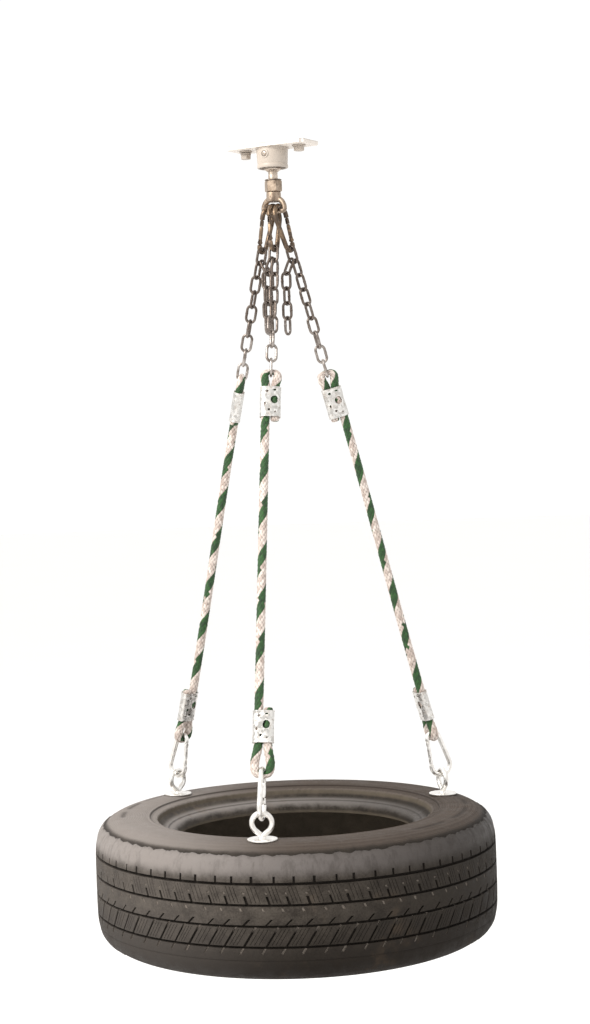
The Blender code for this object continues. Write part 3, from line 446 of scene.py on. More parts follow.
def tire_rubber():
    """Weathered rubber: grey and chalky on the worn shoulder, brown dust on the sidewall. Painted shade darkens it
    towards the bottom, on the right side and in its grooves and creases; a painted highlight lightens the left side and
    the bead lip.
    """
    made = Nodes("tire_rubber")
    lo, hi, _ = box_of("tire")
    x, y, z = (made.part(i) for i in range(3))
    spread = (x * x + y * y).math("SQRT")
    across = x * VIEW_RIGHT.x + y * VIEW_RIGHT.y
    broad = made.noise(6, 5, 0.6)
    mottle = made.noise(45, 8, 0.65)
    fine = made.noise(420, 6, 0.7)
    drips = made.noise(90, 6, 0.65, made.joined(x, y, z * 0.22))
    rings = made.noise(330, 4, 0.7, made.joined(spread, z * 0.3, mottle * (3 * MM)))
    wavy_z = z + (mottle - 0.5) * (14 * MM)

    def below_top(first, second):
        return wavy_z.span((hi.z - first) * MM, (hi.z - second) * MM)

    def inwards(first, second):
        return spread.span((hi.x - first) * MM, (hi.x - second) * MM)

    worn = below_top(50, 28) * inwards(26, 7) * made.mark("crown").span(0, 1, 0.08, 0.95)
    chalk = made.mix(broad, (0.105, 0.091, 0.084), (0.205, 0.186, 0.18))
    chalk = made.mix(drips.span(0.46, 0.66, 0, 0.42), chalk, (0.052, 0.045, 0.04))
    flat = below_top(16, 6) * inwards(12, 24)
    dust = made.mix(broad, (0.06, 0.046, 0.037), (0.125, 0.099, 0.084))
    lip = inwards(105.5, 114.5) * below_top(34, 24)
    mud = broad.span(0.56, 0.68) * mottle.span(0.42, 0.62)
    # Painted shade on the right side, stronger on the shoulder than on the flat top
    painted_right_shade = (across + broad * 0.1).span(-0.08, 0.34, 0, 0.74) * flat.span(0, 1, 1, 0.3)
    washed = worn * drips.span(0.46, 0.66, 1, 0.65)
    # Painted highlight on the left side, over the flat top and the washed shoulder
    painted_highlight_reach = flat.math("MAXIMUM", washed).span(0, 1, 0.12, 0.74)
    lining = made.mix(mottle, (0.045, 0.036, 0.025), (0.125, 0.103, 0.078))
    base = made.mix((mottle * 0.55 + fine * 0.45).span(0.36, 0.64), (0.022, 0.0175, 0.0135), (0.068, 0.058, 0.048))
    color = made.coats(
        # Painted shade: the base darkens to near black towards the bottom of the tire
        made.mix(wavy_z.span((lo.z + 8) * MM, (hi.z - 75) * MM), (0.0085, 0.006, 0.0042), base),
        (worn, chalk),
        (flat * 0.85, dust),
        (rings.span(0.42, 0.62) * flat * 0.55, (0.042, 0.031, 0.024)),
        # Bead lip: worn light grey rubber, brightened further as a painted highlight
        (lip * 0.85, (0.205, 0.186, 0.174)),
        (mud * 0.45, (0.115, 0.08, 0.052)),
        (painted_right_shade, (0.014, 0.011, 0.0085)),
        (across.span(0.02, -0.26) * painted_highlight_reach, (0.262, 0.236, 0.218)),
        (made.mark("inside"), lining),
        # Painted shade in the grooves, cuts and creases, darkest where deepest; on the sidewall this mark also carries
        # the worn dashes' own dark colour
        (made.mark("groove") * 0.85, (0.012, 0.009, 0.007)),
        (made.mark("dust") * 0.65, (0.25, 0.215, 0.185)),
    )
    ribs = (spread * (2 * pi / (RUBBER_RIB_PITCH * MM))).math("SINE")
    height = fine + made.voronoi(1500, "Distance") * 0.5 + ribs * flat * 0.35 + mottle * 2.5
    made.bump(height, 0.45 * MM, 0.85)
    rough = mottle.span(0.3, 0.7, 0.62, 0.86) - washed * 0.27 - lip * 0.22
    return made.end(color, rough, Specular_IOR_Level=0.12)


def floor_paint():
    made = Nodes("studio_floor")
    return made.end(made.mix(made.noise(2, 3), (0.955, 0.95, 0.945), (0.975, 0.97, 0.965)), 0.75)


DULL = metal("dull_steel", (0.34, 0.3, 0.26), (0.19, 0.15, 0.12), (0.16, 0.09, 0.05), 0.1, 0.42)
WARM = metal("warm_steel", (0.62, 0.54, 0.46), (0.44, 0.36, 0.29), (0.26, 0.18, 0.12), 0.06, 0.42)
BRONZE = metal("bronzed_steel", (0.3, 0.215, 0.145), (0.12, 0.085, 0.058), (0.06, 0.04, 0.028), 0.16, 0.36)
TAN = metal("tan_steel", (0.43, 0.345, 0.27), (0.28, 0.215, 0.16), (0.12, 0.085, 0.06), 0.08, 0.42)
ZINC = metal("bright_zinc", (0.9, 0.885, 0.86), (0.74, 0.715, 0.68), (0.42, 0.35, 0.28), -0.02, 0.33)
CHAIN = metal("chain_steel", (0.56, 0.52, 0.49), (0.27, 0.235, 0.21), (0.085, 0.06, 0.045), 0.1, 0.36, (-0.39, -0.24))

# Each look: its slot and its material
LOOKS = {
    "cream": ("cream_paint", cream_paint("cream_paint", (0.39, 0.335, 0.28), (0.51, 0.455, 0.4))),
    # A brighter copy of the same cream paint, painted light for the plate, whose underside lies in shade
    "cream_lit_copy": ("cream_paint", cream_paint("cream_paint_lit_copy", (0.66, 0.6, 0.54), (0.82, 0.765, 0.705))),
    "dull": ("dull_steel", DULL),
    "warm": ("bronzed_steel", WARM),
    "bronze": ("bronzed_steel", BRONZE),
    "tan": ("bronzed_steel", TAN),
    "zinc": ("bright_zinc", ZINC),
    "chain": ("chain_steel", CHAIN),
    "clamp": ("clamp_zinc", clamp_sheet()),
    "rope": ("rope_fibre", rope_fibre()),
    "rubber": ("tire_rubber", tire_rubber()),
}


# ------------ tire

TREAD_OUTLINE = (
    (317.3, 0), (317.2, 20), (317, 40), (316.6, 52), (315.8, 60), (314, 67.5), (311, 75), (306.8, 82),
    (301.2, 88.2), (294.2, 93.4), (286, 97.2), (277, 99.4), (268, 100), (257, 100), (246, 100), (238, 99.2),
    (233.5, 98.2),
)
BEAD_OUTLINE = (
    (232.3, 98.6), (231, 98.8), (229.8, 98.2), (229.2, 96.9), (227.8, 95.6), (224.5, 94.9), (221.8, 94.6),
    (219.6, 94.2), (218.2, 93), (217.4, 91), (216.4, 87.6), (213.8, 84.4), (210, 81.4), (205.6, 79.2),
    (202.2, 78.4), (200.8, 77.2), (199.2, 76), (196, 75.6), (192.8, 74.6), (190.2, 72.4), (188.6, 69),
    (187.9, 64.5), (188.4, 60.6), (190, 58.6), (193.6, 58.6), (198.5, 60.2), (204, 63.2), (210, 68.5),
    (217, 75.5), (226, 83), (237, 88.6), (247, 90.8), (257, 91), (267, 91), (278, 90), (288, 86.5),
    (296, 80), (301.5, 70), (304.4, 57), (305.3, 42), (305.5, 20),
)
CASING_FROM_Z = 78
CASING_COLUMNS = 408
CASING_UNDER_TREAD = ((309.5, 20), (309.5, 45), (309.5, 62), (307.5, 72))
BEAD_LIP_RADIUS = 218.6
DRAIN_RADIUS = 6
DRILL_LENGTH = 36
TREAD_RADIUS = 317
TREAD_INNER_RADIUS = 309
PITCHES = 68
PITCH_SIZES = (0.84, 1.0, 1.17)
NOTCH_COLUMNS = ((0.08, 0), (0.10, 1), (0.19, 1), (0.21, 0))
SIPES = (0.37, 0.56, 0.75)
SIPE_HALF = 0.018
FILLER_COLUMNS = (0.0, 0.29, 0.465, 0.655, 0.88)
GROOVE_DEPTH = 4.6
NOTCH_DEPTH = 3.4
SIPE_DEPTH = 1.5
NICK = 0.4
UPPER_SHIFT = 13
LOWER_SHIFT = -7.7
EDGE_STEP = 1.5
EDGE_Z = 87
# The torn edge of the tread: rise over the edge, depth and groove mark, which is painted shade at the step
EDGE_ROWS = ((0.5, 2.6, 1), (0, -0.2, 0.8), (-0.9, -EDGE_STEP, 0))

# Rows of the tread from its upper edge down: groove, notch and sipe shares, with (height, sideways shift) pairs
TREAD_ROWS = (
    ((0, 0, 0), ((84, 13), (80.5, 13), (77, 13), (72, 13), (67, 13), (63, 13), (60, 13), (59.2, 13))),
    ((0, 1, 0), ((58.5, 13), (54, 13), (50.2, 13))), ((1, 1, 0), ((49.6, 13), (46.4, -3.2))),
    ((0, 0, 0), ((45.8, -3.2), (44.6, -2.8))), ((0, 0, 1), ((44, -2.6), (40, -1.2), (36.6, 0))),
    ((0, NICK, 1), ((36, 0.2), (33.8, 1))), ((0, 0, 1), ((33.2, 1.2), (30.6, 2.1))),
    ((0, 1, 1), ((30, 2.3), (25, 4), (21, 5.4))), ((0, 1, 0), ((20.4, 5.7), (19.3, 6))),
    ((1, 1, 0), ((18.8, 6),)), ((1, 0, 0), ((16, -6.5),)), ((0, 0, 0), ((15.5, -6.5), (14, -5.9))),
    ((0, NICK, 0), ((13.4, -5.6), (8.8, -3.4))),
    ((0, 0, 0), ((8.2, -3.1), (3.5, 1.5), (-1.5, 6.5), (-2.8, 8.6))),
    ((0, 1, 0), ((-3.4, 8.2), (-7.5, 3.9), (-11.2, 0))), ((1, 1, 0), ((-11.7, 0), (-14.5, 17))),
    ((0, 1, 0), ((-15, 17), (-16.4, 16.1))),
    ((0, 1, 1), ((-17, 15.7), (-23, 12), (-29, 8.1), (-35, 4.3), (-39.8, 1.2))),
    ((0, 1, 0), ((-40.4, 0.8), (-41.7, 0))), ((1, 1, 0), ((-42.2, 0), (-45, -2.2))),
    ((0, 1, 0), ((-45.5, -2.4),)), ((0, 0.8, 0), ((-46.3, -2.9),)), ((0, 0.7, 0), ((-50, -5.2),)),
    ((0, 0.6, 0), ((-53.2, -7.3),)), ((0, 0, 0), ((-53.9, -7.7), (-58, -7.7), (-62.6, -7.7))),
    ((0.12, 0, 0), ((-63.2, -7.7), (-64.4, -7.7))),
    ((0, 0, 0), ((-65, -7.7), (-70, -7.7), (-75, -7.7), (-80, -7.7), (-84, -7.7))),
)
DUSTY_ROWS = ((36, 33.8), (13.4, 8.8), (-15, -17), (-46.3, -53.2))

# Worn dashes in the sidewall, with their arcs in degrees
MARK_RADIUS = 272
MARK_HALF = 5
MARK_DEPTH = 0.9
MARK_ARCS = ((-20, 62), (150, 215))
MARK_SIZES = (45, 110)
MARK_GAPS = (8, 20)


def lengths_along(points):
    return np.concatenate([[0], np.cumsum(np.linalg.norm(np.diff(points, axis=0), axis=1))])


def spline(knots, values, at):
    """Smooth curve through the values (Hermite, with slopes that don't overshoot)."""
    gap = np.diff(knots)
    rise = np.diff(values) / gap
    slopes = np.empty(len(values))
    slopes[1:-1] = (rise[:-1] * gap[1:] + rise[1:] * gap[:-1]) / (gap[1:] + gap[:-1])
    slopes[0], slopes[-1] = rise[0], rise[-1]
    k = np.clip(np.searchsorted(knots, at, "right") - 1, 0, len(gap) - 1)
    h = gap[k]
    t = (at - knots[k]) / h
    a = (1 + 2 * t) * (1 - t) ** 2 * values[k] + t * (1 - t) ** 2 * h * slopes[k]
    return a + t * t * (3 - 2 * t) * values[k + 1] + t * t * (t - 1) * h * slopes[k + 1]


def splines(knots, points, at):
    return np.stack([spline(knots, values, at) for values in points.T], -1)


def outline_table():
    """Points and normals of the tire's outer outline, for its upper half."""
    points = np.array(TREAD_OUTLINE)
    knots = lengths_along(points)
    curve = splines(knots, points, np.linspace(0, knots[-1], 900))
    slope = unit(np.gradient(curve, axis=0))
    return curve, np.stack([slope[:, 1], -slope[:, 0]], -1)


OUTLINE = outline_table()


def outline_at(height):
    """Radius and outward normal on the outer outline at heights over the tire's middle."""
    curve, normals = OUTLINE
    top = np.argmax(curve[:, 1] >= curve[:, 1].max() - 0.01) + 1
    levels = curve[:top, 1]
    radius, n_r, n_z = (np.interp(np.abs(height), levels, v[:top]) for v in (curve[:, 0], *normals.T))
    return radius, n_r, n_z * np.sign(height)


def tread_columns():
    """Angle, notch share and sipe share of each column."""
    draw = random.Random(11)
    sizes = [draw.choice(PITCH_SIZES) for _ in range(PITCHES)]
    scale = 2 * pi / sum(sizes)
    inside = [(u, n, 0) for u, n in NOTCH_COLUMNS] + [(u, 0, 0) for u in FILLER_COLUMNS]
    for sipe in SIPES:
        inside += [(sipe - SIPE_HALF, 0, 0), (sipe, 0, 1), (sipe + SIPE_HALF, 0, 0)]
    columns = []
    start = 0.0
    for size in sizes:
        worn = draw.uniform(0.55, 1.0)
        columns += [(start + u * size * scale, notch, sipe * worn) for u, notch, sipe in sorted(inside)]
        start += size * scale
    return np.array(columns)


def round_noise(angles, scale, seed, detail=3):
    """Repeatable noise in -1..1 that closes on itself round the tire."""
    return np.array([noise.fractal(Vector(p), 0.6, 2.0, detail) for p in ringed(scale, angles, seed)])


def edge_height(angles, seed):
    """Where the worn shoulder ends: a ragged line, scalloped once a pitch."""
    scallop = np.abs(((angles * PITCHES / (2 * pi) + 0.3 * seed) % 1) - 0.5) * 2
    ragged = 1.3 * round_noise(angles, 9, seed) + 1.1 * round_noise(angles, 46, seed + 5)
    return EDGE_Z + 2 * (scallop - 0.5) + ragged


def tread_piece(middle):
    angles, notch, sipe = tread_columns().T
    wear = round_noise(angles, 30, 3.3)
    rows, painted_groove_shade, dusts = [], [], []

    def row(height, depth, shift, groove, dust=0):
        radius, n_r, n_z = outline_at(height + 0 * angles)
        rows.append(ringed(radius - depth * n_r, angles + shift / TREAD_RADIUS, height - depth * n_z))
        painted_groove_shade.append(groove + 0 * angles)
        dusts.append(dust + 0 * angles)

    for rise, depth, groove in EDGE_ROWS:
        row(edge_height(angles, 1) + rise, depth, UPPER_SHIFT, groove)
    for (groove, notched, siped), places in TREAD_ROWS:
        cuts = groove * GROOVE_DEPTH + 0 * notch, notched * notch * NOTCH_DEPTH, siped * sipe * SIPE_DEPTH
        depth = np.maximum.reduce(cuts)
        # Painted shade in each cut, deeper cuts darker, lighter where dust lies
        depth_shade = np.clip(depth / 2.4, 0, 1)
        for height, shift in places:
            lift = EDGE_STEP * np.clip((abs(height) - 66) / 10, 0, 1)
            dusty = any(high >= height >= low for high, low in DUSTY_ROWS)
            row(height, depth - lift + 0.1 * wear, shift, depth_shade * (0.3 if dusty else 1), dusty * notch * 0.9)
    for rise, depth, groove in reversed(EDGE_ROWS):
        row(-edge_height(angles, 2) - rise, depth, LOWER_SHIFT, groove)
    # The tread's inner face; its groove mark is full painted shade
    for height in (-60, 60):
        rows.append(ringed(TREAD_INNER_RADIUS, angles, height))
        painted_groove_shade.append(1 + 0 * angles)
        dusts.append(0 * angles)
    tread = Shape().grid(np.array(rows) + (0, 0, middle), True)
    tread.done("tire_tread", "rubber", "hanger", sharp=42, groove=painted_groove_shade, dust=dusts, crown=np.ones_like(painted_groove_shade))


def casing_profile():
    """(radius, height, inside) of the casing, from under the tread over the sidewall to the lining and back."""
    curve = OUTLINE[0]
    shown = curve[curve[:, 1] > CASING_FROM_Z]
    picked = shown[np.unique(np.linspace(0, len(shown) - 1, 26).astype(int))]
    half = [(r, z, 0) for r, z in (*CASING_UNDER_TREAD, *picked)]
    half += [(r, z, not (z > 61 and r < 216 or z > 91.2)) for r, z in BEAD_OUTLINE]
    return np.concatenate([half, np.array(half)[::-1] * (1, -1, 1)])


def sidewall_marks(angles):
    """Worn dashes sunk in the sidewall, in two arcs, with ragged ends. They spell nothing."""
    draw = random.Random(5)
    marks = np.zeros(len(angles))
    for first, last in MARK_ARCS:
        at = radians(first)
        while at < radians(last):
            wide = draw.uniform(*MARK_SIZES) / MARK_RADIUS
            apart = np.abs((angles - at - wide / 2 + pi) % (2 * pi) - pi)
            marks = np.maximum(marks, draw.uniform(0.5, 1) * np.clip(4 * (1 - apart * 2 / wide), 0, 1))
            at += wide + draw.uniform(*MARK_GAPS) / MARK_RADIUS
    return marks


def casing_piece(middle):
    angles = circle(CASING_COLUMNS)
    marks = sidewall_marks(angles)
    tatters = round_noise(angles, 60, 8.1, 4)
    sag = round_noise(angles, 2.2, 4.4)
    profile = casing_profile()
    rows, mark_rows = [], []
    for r, z, inside in profile:
        on_side = abs(z) > 90
        lip = bump_at(r, BEAD_LIP_RADIUS, 1.6) * on_side
        band = np.clip(1.2 - abs(r - MARK_RADIUS) / MARK_HALF, 0, 1) * (on_side and not inside)
        push = 1.5 * lip * tatters + 0.5 * sag * bump_at(r, 205, 9) - MARK_DEPTH * band * marks
        rows.append(ringed(r - 1.1 * lip * tatters, angles, middle + z + copysign(1, z) * push))
        mark_rows.append(0.75 * band * marks)
    radius, height, inside = profile.T
    height = np.abs(height)
    # Painted shade in the bead's two creases and along the step under the tread's torn edge
    ring = bump_at(radius, 229.3, 0.9) + bump_at(radius, 200.9, 0.8)
    ring += 0.9 * bump_at(height, EDGE_Z + 1, 3) * (radius > 290)
    flash = 0.5 * bump_at(radius, BEAD_LIP_RADIUS, 1) * (height > 90)
    casing = Shape().grid(rows, True).done(
        "tire_casing", "rubber", "hanger", "tire", sharp=50, inside=np.repeat(inside, CASING_COLUMNS),
        groove=np.clip(ring, 0, 0.7)[:, None] + mark_rows, dust=np.repeat(flash, CASING_COLUMNS),
    )
    drill_drains(casing)


def drill_drains(casing):
    """Three round drain holes in the lower sidewall, opposite the eyebolts."""
    low = box_of("tire")[0].z
    for name in LEGS:
        spot = bolt_spot(name)
        drill = bmesh.new()
        bmesh.ops.create_cone(
            drill, cap_ends=True, segments=28, radius1=DRAIN_RADIUS * MM, radius2=DRAIN_RADIUS * MM,
            depth=DRILL_LENGTH * MM, matrix=Matrix.Translation(Vector((-spot.x, -spot.y, low)) * MM),
        )
        mesh = bpy.data.meshes.new(f"{name}_drain")
        drill.to_mesh(mesh)
        drill.free()
        cutter = new_object(f"{name}_drain", mesh)
        cut = setup(casing.modifiers.new("drain", "BOOLEAN"), operation="DIFFERENCE", solver="EXACT", object=cutter)
        bpy.context.view_layer.update()
        graph = bpy.context.evaluated_depsgraph_get()
        drilled = bpy.data.meshes.new_from_object(casing.evaluated_get(graph))
        casing.modifiers.remove(cut)
        casing.data = drilled
        bpy.data.objects.remove(cutter)


def bolt_spot(name):
    """Where an eyebolt goes through the top of its washer."""
    _, hi, middle = box_of(f"{name}_top_washer")
    return Vector((middle.x, middle.y, hi.z))


def make_tire():
    middle = box_of("tire")[2].z
    tread_piece(middle)
    casing_piece(middle)


# ------------ hooks


def hook_sides():
    """Slant of the hook's open side, the ends of that side, and the line down it."""
    slant = asin((HOOK_WIDE - HOOK_NARROW) / (HOOK_LENGTH - HOOK_WIDE - HOOK_NARROW))
    normal = Vector((cos(slant), sin(slant)))
    wide_end = Vector((0, HOOK_WIDE)) + normal * HOOK_WIDE
    narrow_end = Vector((0, HOOK_LENGTH - HOOK_NARROW)) + normal * HOOK_NARROW
    return slant, wide_end, narrow_end, (wide_end - narrow_end).normalized()


SLANT, WIDE_END, NARROW_END, GATE_LINE = hook_sides()
GATE_HINGE = NARROW_END + GATE_LINE * GATE_SETBACK
GATE_TIP = WIDE_END - GATE_LINE * (NOSE_REACH + GATE_PLAY + GATE_RADIUS)


def leg_frames(name):
    """Frames of a leg's two hooks, from the hinges of their gates, and the line between them."""
    joints = [f"{name}_{end}_gate_open" for end in ("upper", "lower")]
    hinges = [hinge_of(joint) for joint in joints]
    line = (hinges[1] - hinges[0]).normalized()
    for _ in range(12):
        top, low = (
            hook_frame(hinge, Vector(JOINTS[joint]["axis"]), line * sign)
            for joint, hinge, sign in zip(joints, hinges, (1, -1))
        )
        line = (low.translation - top.translation).normalized()
    return top, low, line


def hook_frame(hinge, normal, z_axis):
    across = normal.cross(z_axis).normalized()
    return axes_matrix(hinge - across * GATE_HINGE.x - z_axis * GATE_HINGE.y, z_axis, across)


def in_plane(point):
    return np.array((point.x, 0, point.y))


def hook_wire_path():
    """Centre line of the open loop, hinge end first."""
    start = in_plane(NARROW_END + GATE_LINE * (GATE_SETBACK - GATE_RADIUS - GATE_PLAY))
    narrow = arc((0, HOOK_LENGTH - HOOK_NARROW), HOOK_NARROW, SLANT, pi - SLANT, 26)
    wide = arc((0, HOOK_WIDE), HOOK_WIDE, pi - SLANT, 2 * pi + SLANT, 34)
    return [start, *narrow, *straight(narrow[-1], wide[0], 8)[1:-1], *wide, in_plane(WIDE_END - GATE_LINE * NOSE_REACH)]


def rounded_ends(path, wire):
    """Radii along a tube whose two ends are rounded off."""
    sizes = [wire] * len(path)
    for i, share in enumerate((0.72, 0.93)):
        sizes[i] = sizes[-1 - i] = wire * share
    return sizes


def make_hook(name, place, look, arm):
    path = hook_wire_path()
    down = in_plane(GATE_LINE)
    start, end = path[0], path[-1]
    path = [start, start - down * 0.5, *path[1:-1], end + down * 0.9, end + down * 0.2, end]
    key = end - down * 4.4
    body = Shape().sweep(path, rounded_ends(path, HOOK_WIRE), 18, place=place)
    tongue(body, start - down * 1.5, start + down * 6.6, 1.15, 2.7, place)
    tongue(body, end + down * 2, key, 0.85, 2.2, place)
    body.sweep([key + (0, y, 0) for y in (-1.3, -1, 1, 1.3)], [1.2, 1.5, 1.5, 1.2], 12, normal=None, place=place)
    hinge = in_plane(GATE_HINGE)
    rivet(body, hinge, place)
    body.done(f"{name}_hook_wire", look, "hanger", f"{name}_hook")
    gate_rod(hinge, in_plane(GATE_TIP), down, place).done(f"{name}_gate_bar", look, arm, f"{name}_gate")


def tongue(shape, a, b, half_thick, half_wide, place):
    """Flat tab between two points in the hook's plane, thin across the plane, with eased ends."""
    shares = ((0, 0.75), (0.06, 0.92), (0.2, 1), (0.8, 1), (0.94, 0.92), (1, 0.7))
    radii = [(half_wide * size, half_thick * min(1, size + 0.05)) for _, size in shares]
    shape.sweep([a + (b - a) * share for share, _ in shares], radii, 20, place=place)


def rivet(shape, centre, place):
    """Pin through the hinge with a low domed head on each side."""
    half = [(0, 3.75), (0.4, 3.75), (1.25, 3.7), (1.9, 3.45), (2.15, 3), (1.3, 2.9)]
    profile = half + [(r, -z) for r, z in reversed(half)]
    shape.lathe(profile, place @ axes_matrix(Vector(centre), PIN_LINE, PLATE_LINE), 20, closed=False)


def gate_rod(hinge, tip, down, place):
    """Round rod, forked at both ends: round the hinge tongue, and round the nose's key."""
    length = float(np.linalg.norm(tip - hinge))
    fork, slot = 5.2, 8
    path = [hinge + down * s for s in np.linspace(fork - 1, length - slot + 1, 10)]
    shape = Shape().sweep(path, rounded_ends(path, GATE_RADIUS), 18, place=place)
    cheeks(shape, hinge - down * 2.9, hinge + down * fork, 1.35, down, place)
    cheeks(shape, tip + down * 2.9, tip - down * (slot - 1.6), 1.15, down, place)
    return shape


def cheeks(shape, a, b, clear, down, place):
    """Two halves of a rod split by a slot of half width clear, rounded at end a."""
    side = np.cross((0, 1, 0), down)
    flat = asin(clear / GATE_RADIUS)
    for sign in (-1, 1):
        rings = []
        for share, size in ((0, 0.5), (0.08, 0.78), (0.2, 0.94), (0.35, 1), (1, 1)):
            rings.append([
                a + (b - a) * share + side * GATE_RADIUS * size * cos(t) + (0, sign * GATE_RADIUS * sin(t), 0)
                for t in np.linspace(flat, pi - flat, 9)
            ])
        shape.grid(rings, place=place)


# ------------ chain


def link_grid():
    """One link's tube about its own frame, with the bulge of its butt weld half-way down one side."""
    half, low = LINK_HALF_WIDTH, LINK_HALF_WIDTH - LINK_LENGTH
    path = arc((0, -half), half, 0, pi, 15)
    path += straight(path[-1], (-half, 0, low), 8)[1:-1]
    path += arc((0, low), half, pi, 2 * pi, 15)
    side = straight((half, 0, low), (half, 0, -half), 14)[1:-1]
    weld = [LINK_WIRE * (1 + 0.17 * bump_at(i, 5.5, 1.3)) for i in range(len(side))]
    return tube(path + side, [LINK_WIRE] * len(path) + weld, 14, True, PIN_LINE)


LINK = link_grid()


def chain_frames(leg, hook, line):
    """The working chain's links, twisting evenly from the hook's plane to the rope fold's."""
    flat = square_to(PLATE_LINE, line)
    heading = radians(leg["fold"])
    fold = square_to(Vector((cos(heading), sin(heading), 0)), line)
    twist = atan2(fold.dot(-flat), fold.dot(line.cross(flat)))
    twist = (twist + pi / 2) % pi - pi / 2
    first = hook @ Vector((0, 0, HOOK_LENGTH - HOOK_WIRE - LINK_WIRE - WIRE_PLAY))
    steps = CHAIN_LINKS - 1
    frames = []
    for i in range(CHAIN_LINKS):
        centre = first
        if i:
            drop = LINK_LENGTH - SHARED_LINK_DROP + (i - 1) * LINK_PITCH
            centre = first + line * drop + flat * (leg["chain"] * LINK_OFFSET * (steps - i) / (steps - 1))
        turn = Matrix.Rotation(twist * i / steps + pi / 2 * (i % 2), 3, line)
        frames.append(axes_matrix(centre, -line, turn @ flat))
    return frames


def tail_frames(name, leg):
    """The spare chain's links. Its hinge is the middle of its first link's top bend."""
    lean = Vector((-leg["chain"] * sin(TAIL_LEAN), 0, -cos(TAIL_LEAN)))
    centre = hinge_of(f"{name}_tail_swing") - lean * LINK_HALF_WIDTH
    frames = [axes_matrix(centre, -lean, PIN_LINE)]
    centre = centre + lean * LINK_LENGTH + UP * (2 * LINK_WIRE - LINK_SINK)
    for i in range(1, TAIL_LINKS):
        frames.append(axes_matrix(centre, UP, PLATE_LINE if i % 2 else PIN_LINE))
        centre = centre - UP * LINK_PITCH
    return frames


def make_chain(name, frames, body, node):
    shape = Shape()
    for i, place in enumerate(frames):
        shape.grid(LINK, True, place @ Matrix.Rotation(pi * (i % 3 == 1), 4, "Z"))
    shape.done(name, "chain", body, node)


# ------------ rope

BRAID_AROUND = 7
ROPE_SIDES = 72
STRIPE_SHARE = 0.44
STITCH_HEIGHT = 1.25
# Metres: where one stitch ends and the next starts hangs on how these divide
BRAID_LENGTH = 8.4 * MM
ROPE_STEP = 0.9 * MM
STRIPE_PITCH = 70 * MM


def rope_layout(leg, low_hook, last_link, line):
    """Middle of each fold, with the side on which the working rope leaves it."""
    top = last_link.translation + line * LINK_LENGTH
    bottom = low_hook @ Vector((0, 0, HOOK_LENGTH))
    sides = [place.to_3x3() @ PIN_LINE for place in (last_link, low_hook)]
    top_side, bottom_side = (-side if side.dot(VIEW_RIGHT) * leg["rope"] < 0 else side for side in sides)
    return top, top_side, bottom, bottom_side


def fold_path(centre, out, side, pinch, wire, width):
    """Centre line and radii round a fold, pinched where it bears on the wire."""
    reach = wire + FOLD_PLAY + pinch
    turns = [pi / 2 - pi * i / 8 for i in range(9)]
    points = [centre + out * reach * cos(turn) + side * width * sin(turn) for turn in turns]
    return points, [pinch + (ROPE_RADIUS - pinch) * sin(turn) ** 2 for turn in turns]


def rope_path(leg, layout, line):
    """Centre line and radius from one cut end, round both folds, to the other."""
    top, top_side, bottom, bottom_side = layout
    clamp_end = CLAMP_TOP_DROP + CLAMP_LENGTH
    clamp_top = leg["lift"] + CLAMP_LENGTH
    half_ease = ROPE_EASE / 2

    def upper(drop, sign):
        return top + line * drop + top_side * (sign * ROPE_PITCH)

    def lower(rise, sign):
        return bottom - line * rise + bottom_side * (sign * ROPE_PITCH)

    over, over_radii = fold_path(top, -line, -top_side, *TOP_FOLD)
    under, under_radii = fold_path(bottom, line, bottom_side, *BOTTOM_FOLD)
    points = [
        upper(clamp_end + ROPE_END, -1), upper(CLAMP_TOP_DROP - half_ease, -1), *over,
        upper(CLAMP_TOP_DROP - half_ease, 1), upper(clamp_end + ROPE_EASE, 1),
        lower(clamp_top + ROPE_EASE, 1), lower(leg["lift"] - half_ease, 1), *under,
        lower(leg["lift"] - half_ease, -1), lower(clamp_top + ROPE_END, -1),
    ]
    plain = [ROPE_RADIUS] * 2
    return np.array(points), np.array(plain + over_radii + plain * 2 + under_radii + plain)


def braid(around, along):
    """Stitch height (0..1), each stitch's column and row numbers, on a diamond braid."""
    a = BRAID_AROUND * around + along / BRAID_LENGTH
    b = BRAID_AROUND * around - along / BRAID_LENGTH
    i, j = np.floor(a), np.floor(b)
    over = (i + j) % 2 == 0
    across = np.where(over, a - i, b - j)
    lengthwise = np.where(over, b - j, a - i)
    height = np.sqrt(np.clip(np.sin(pi * across), 0, 1)) * (0.55 + 0.45 * np.sin(pi * lengthwise))
    return height, i, j


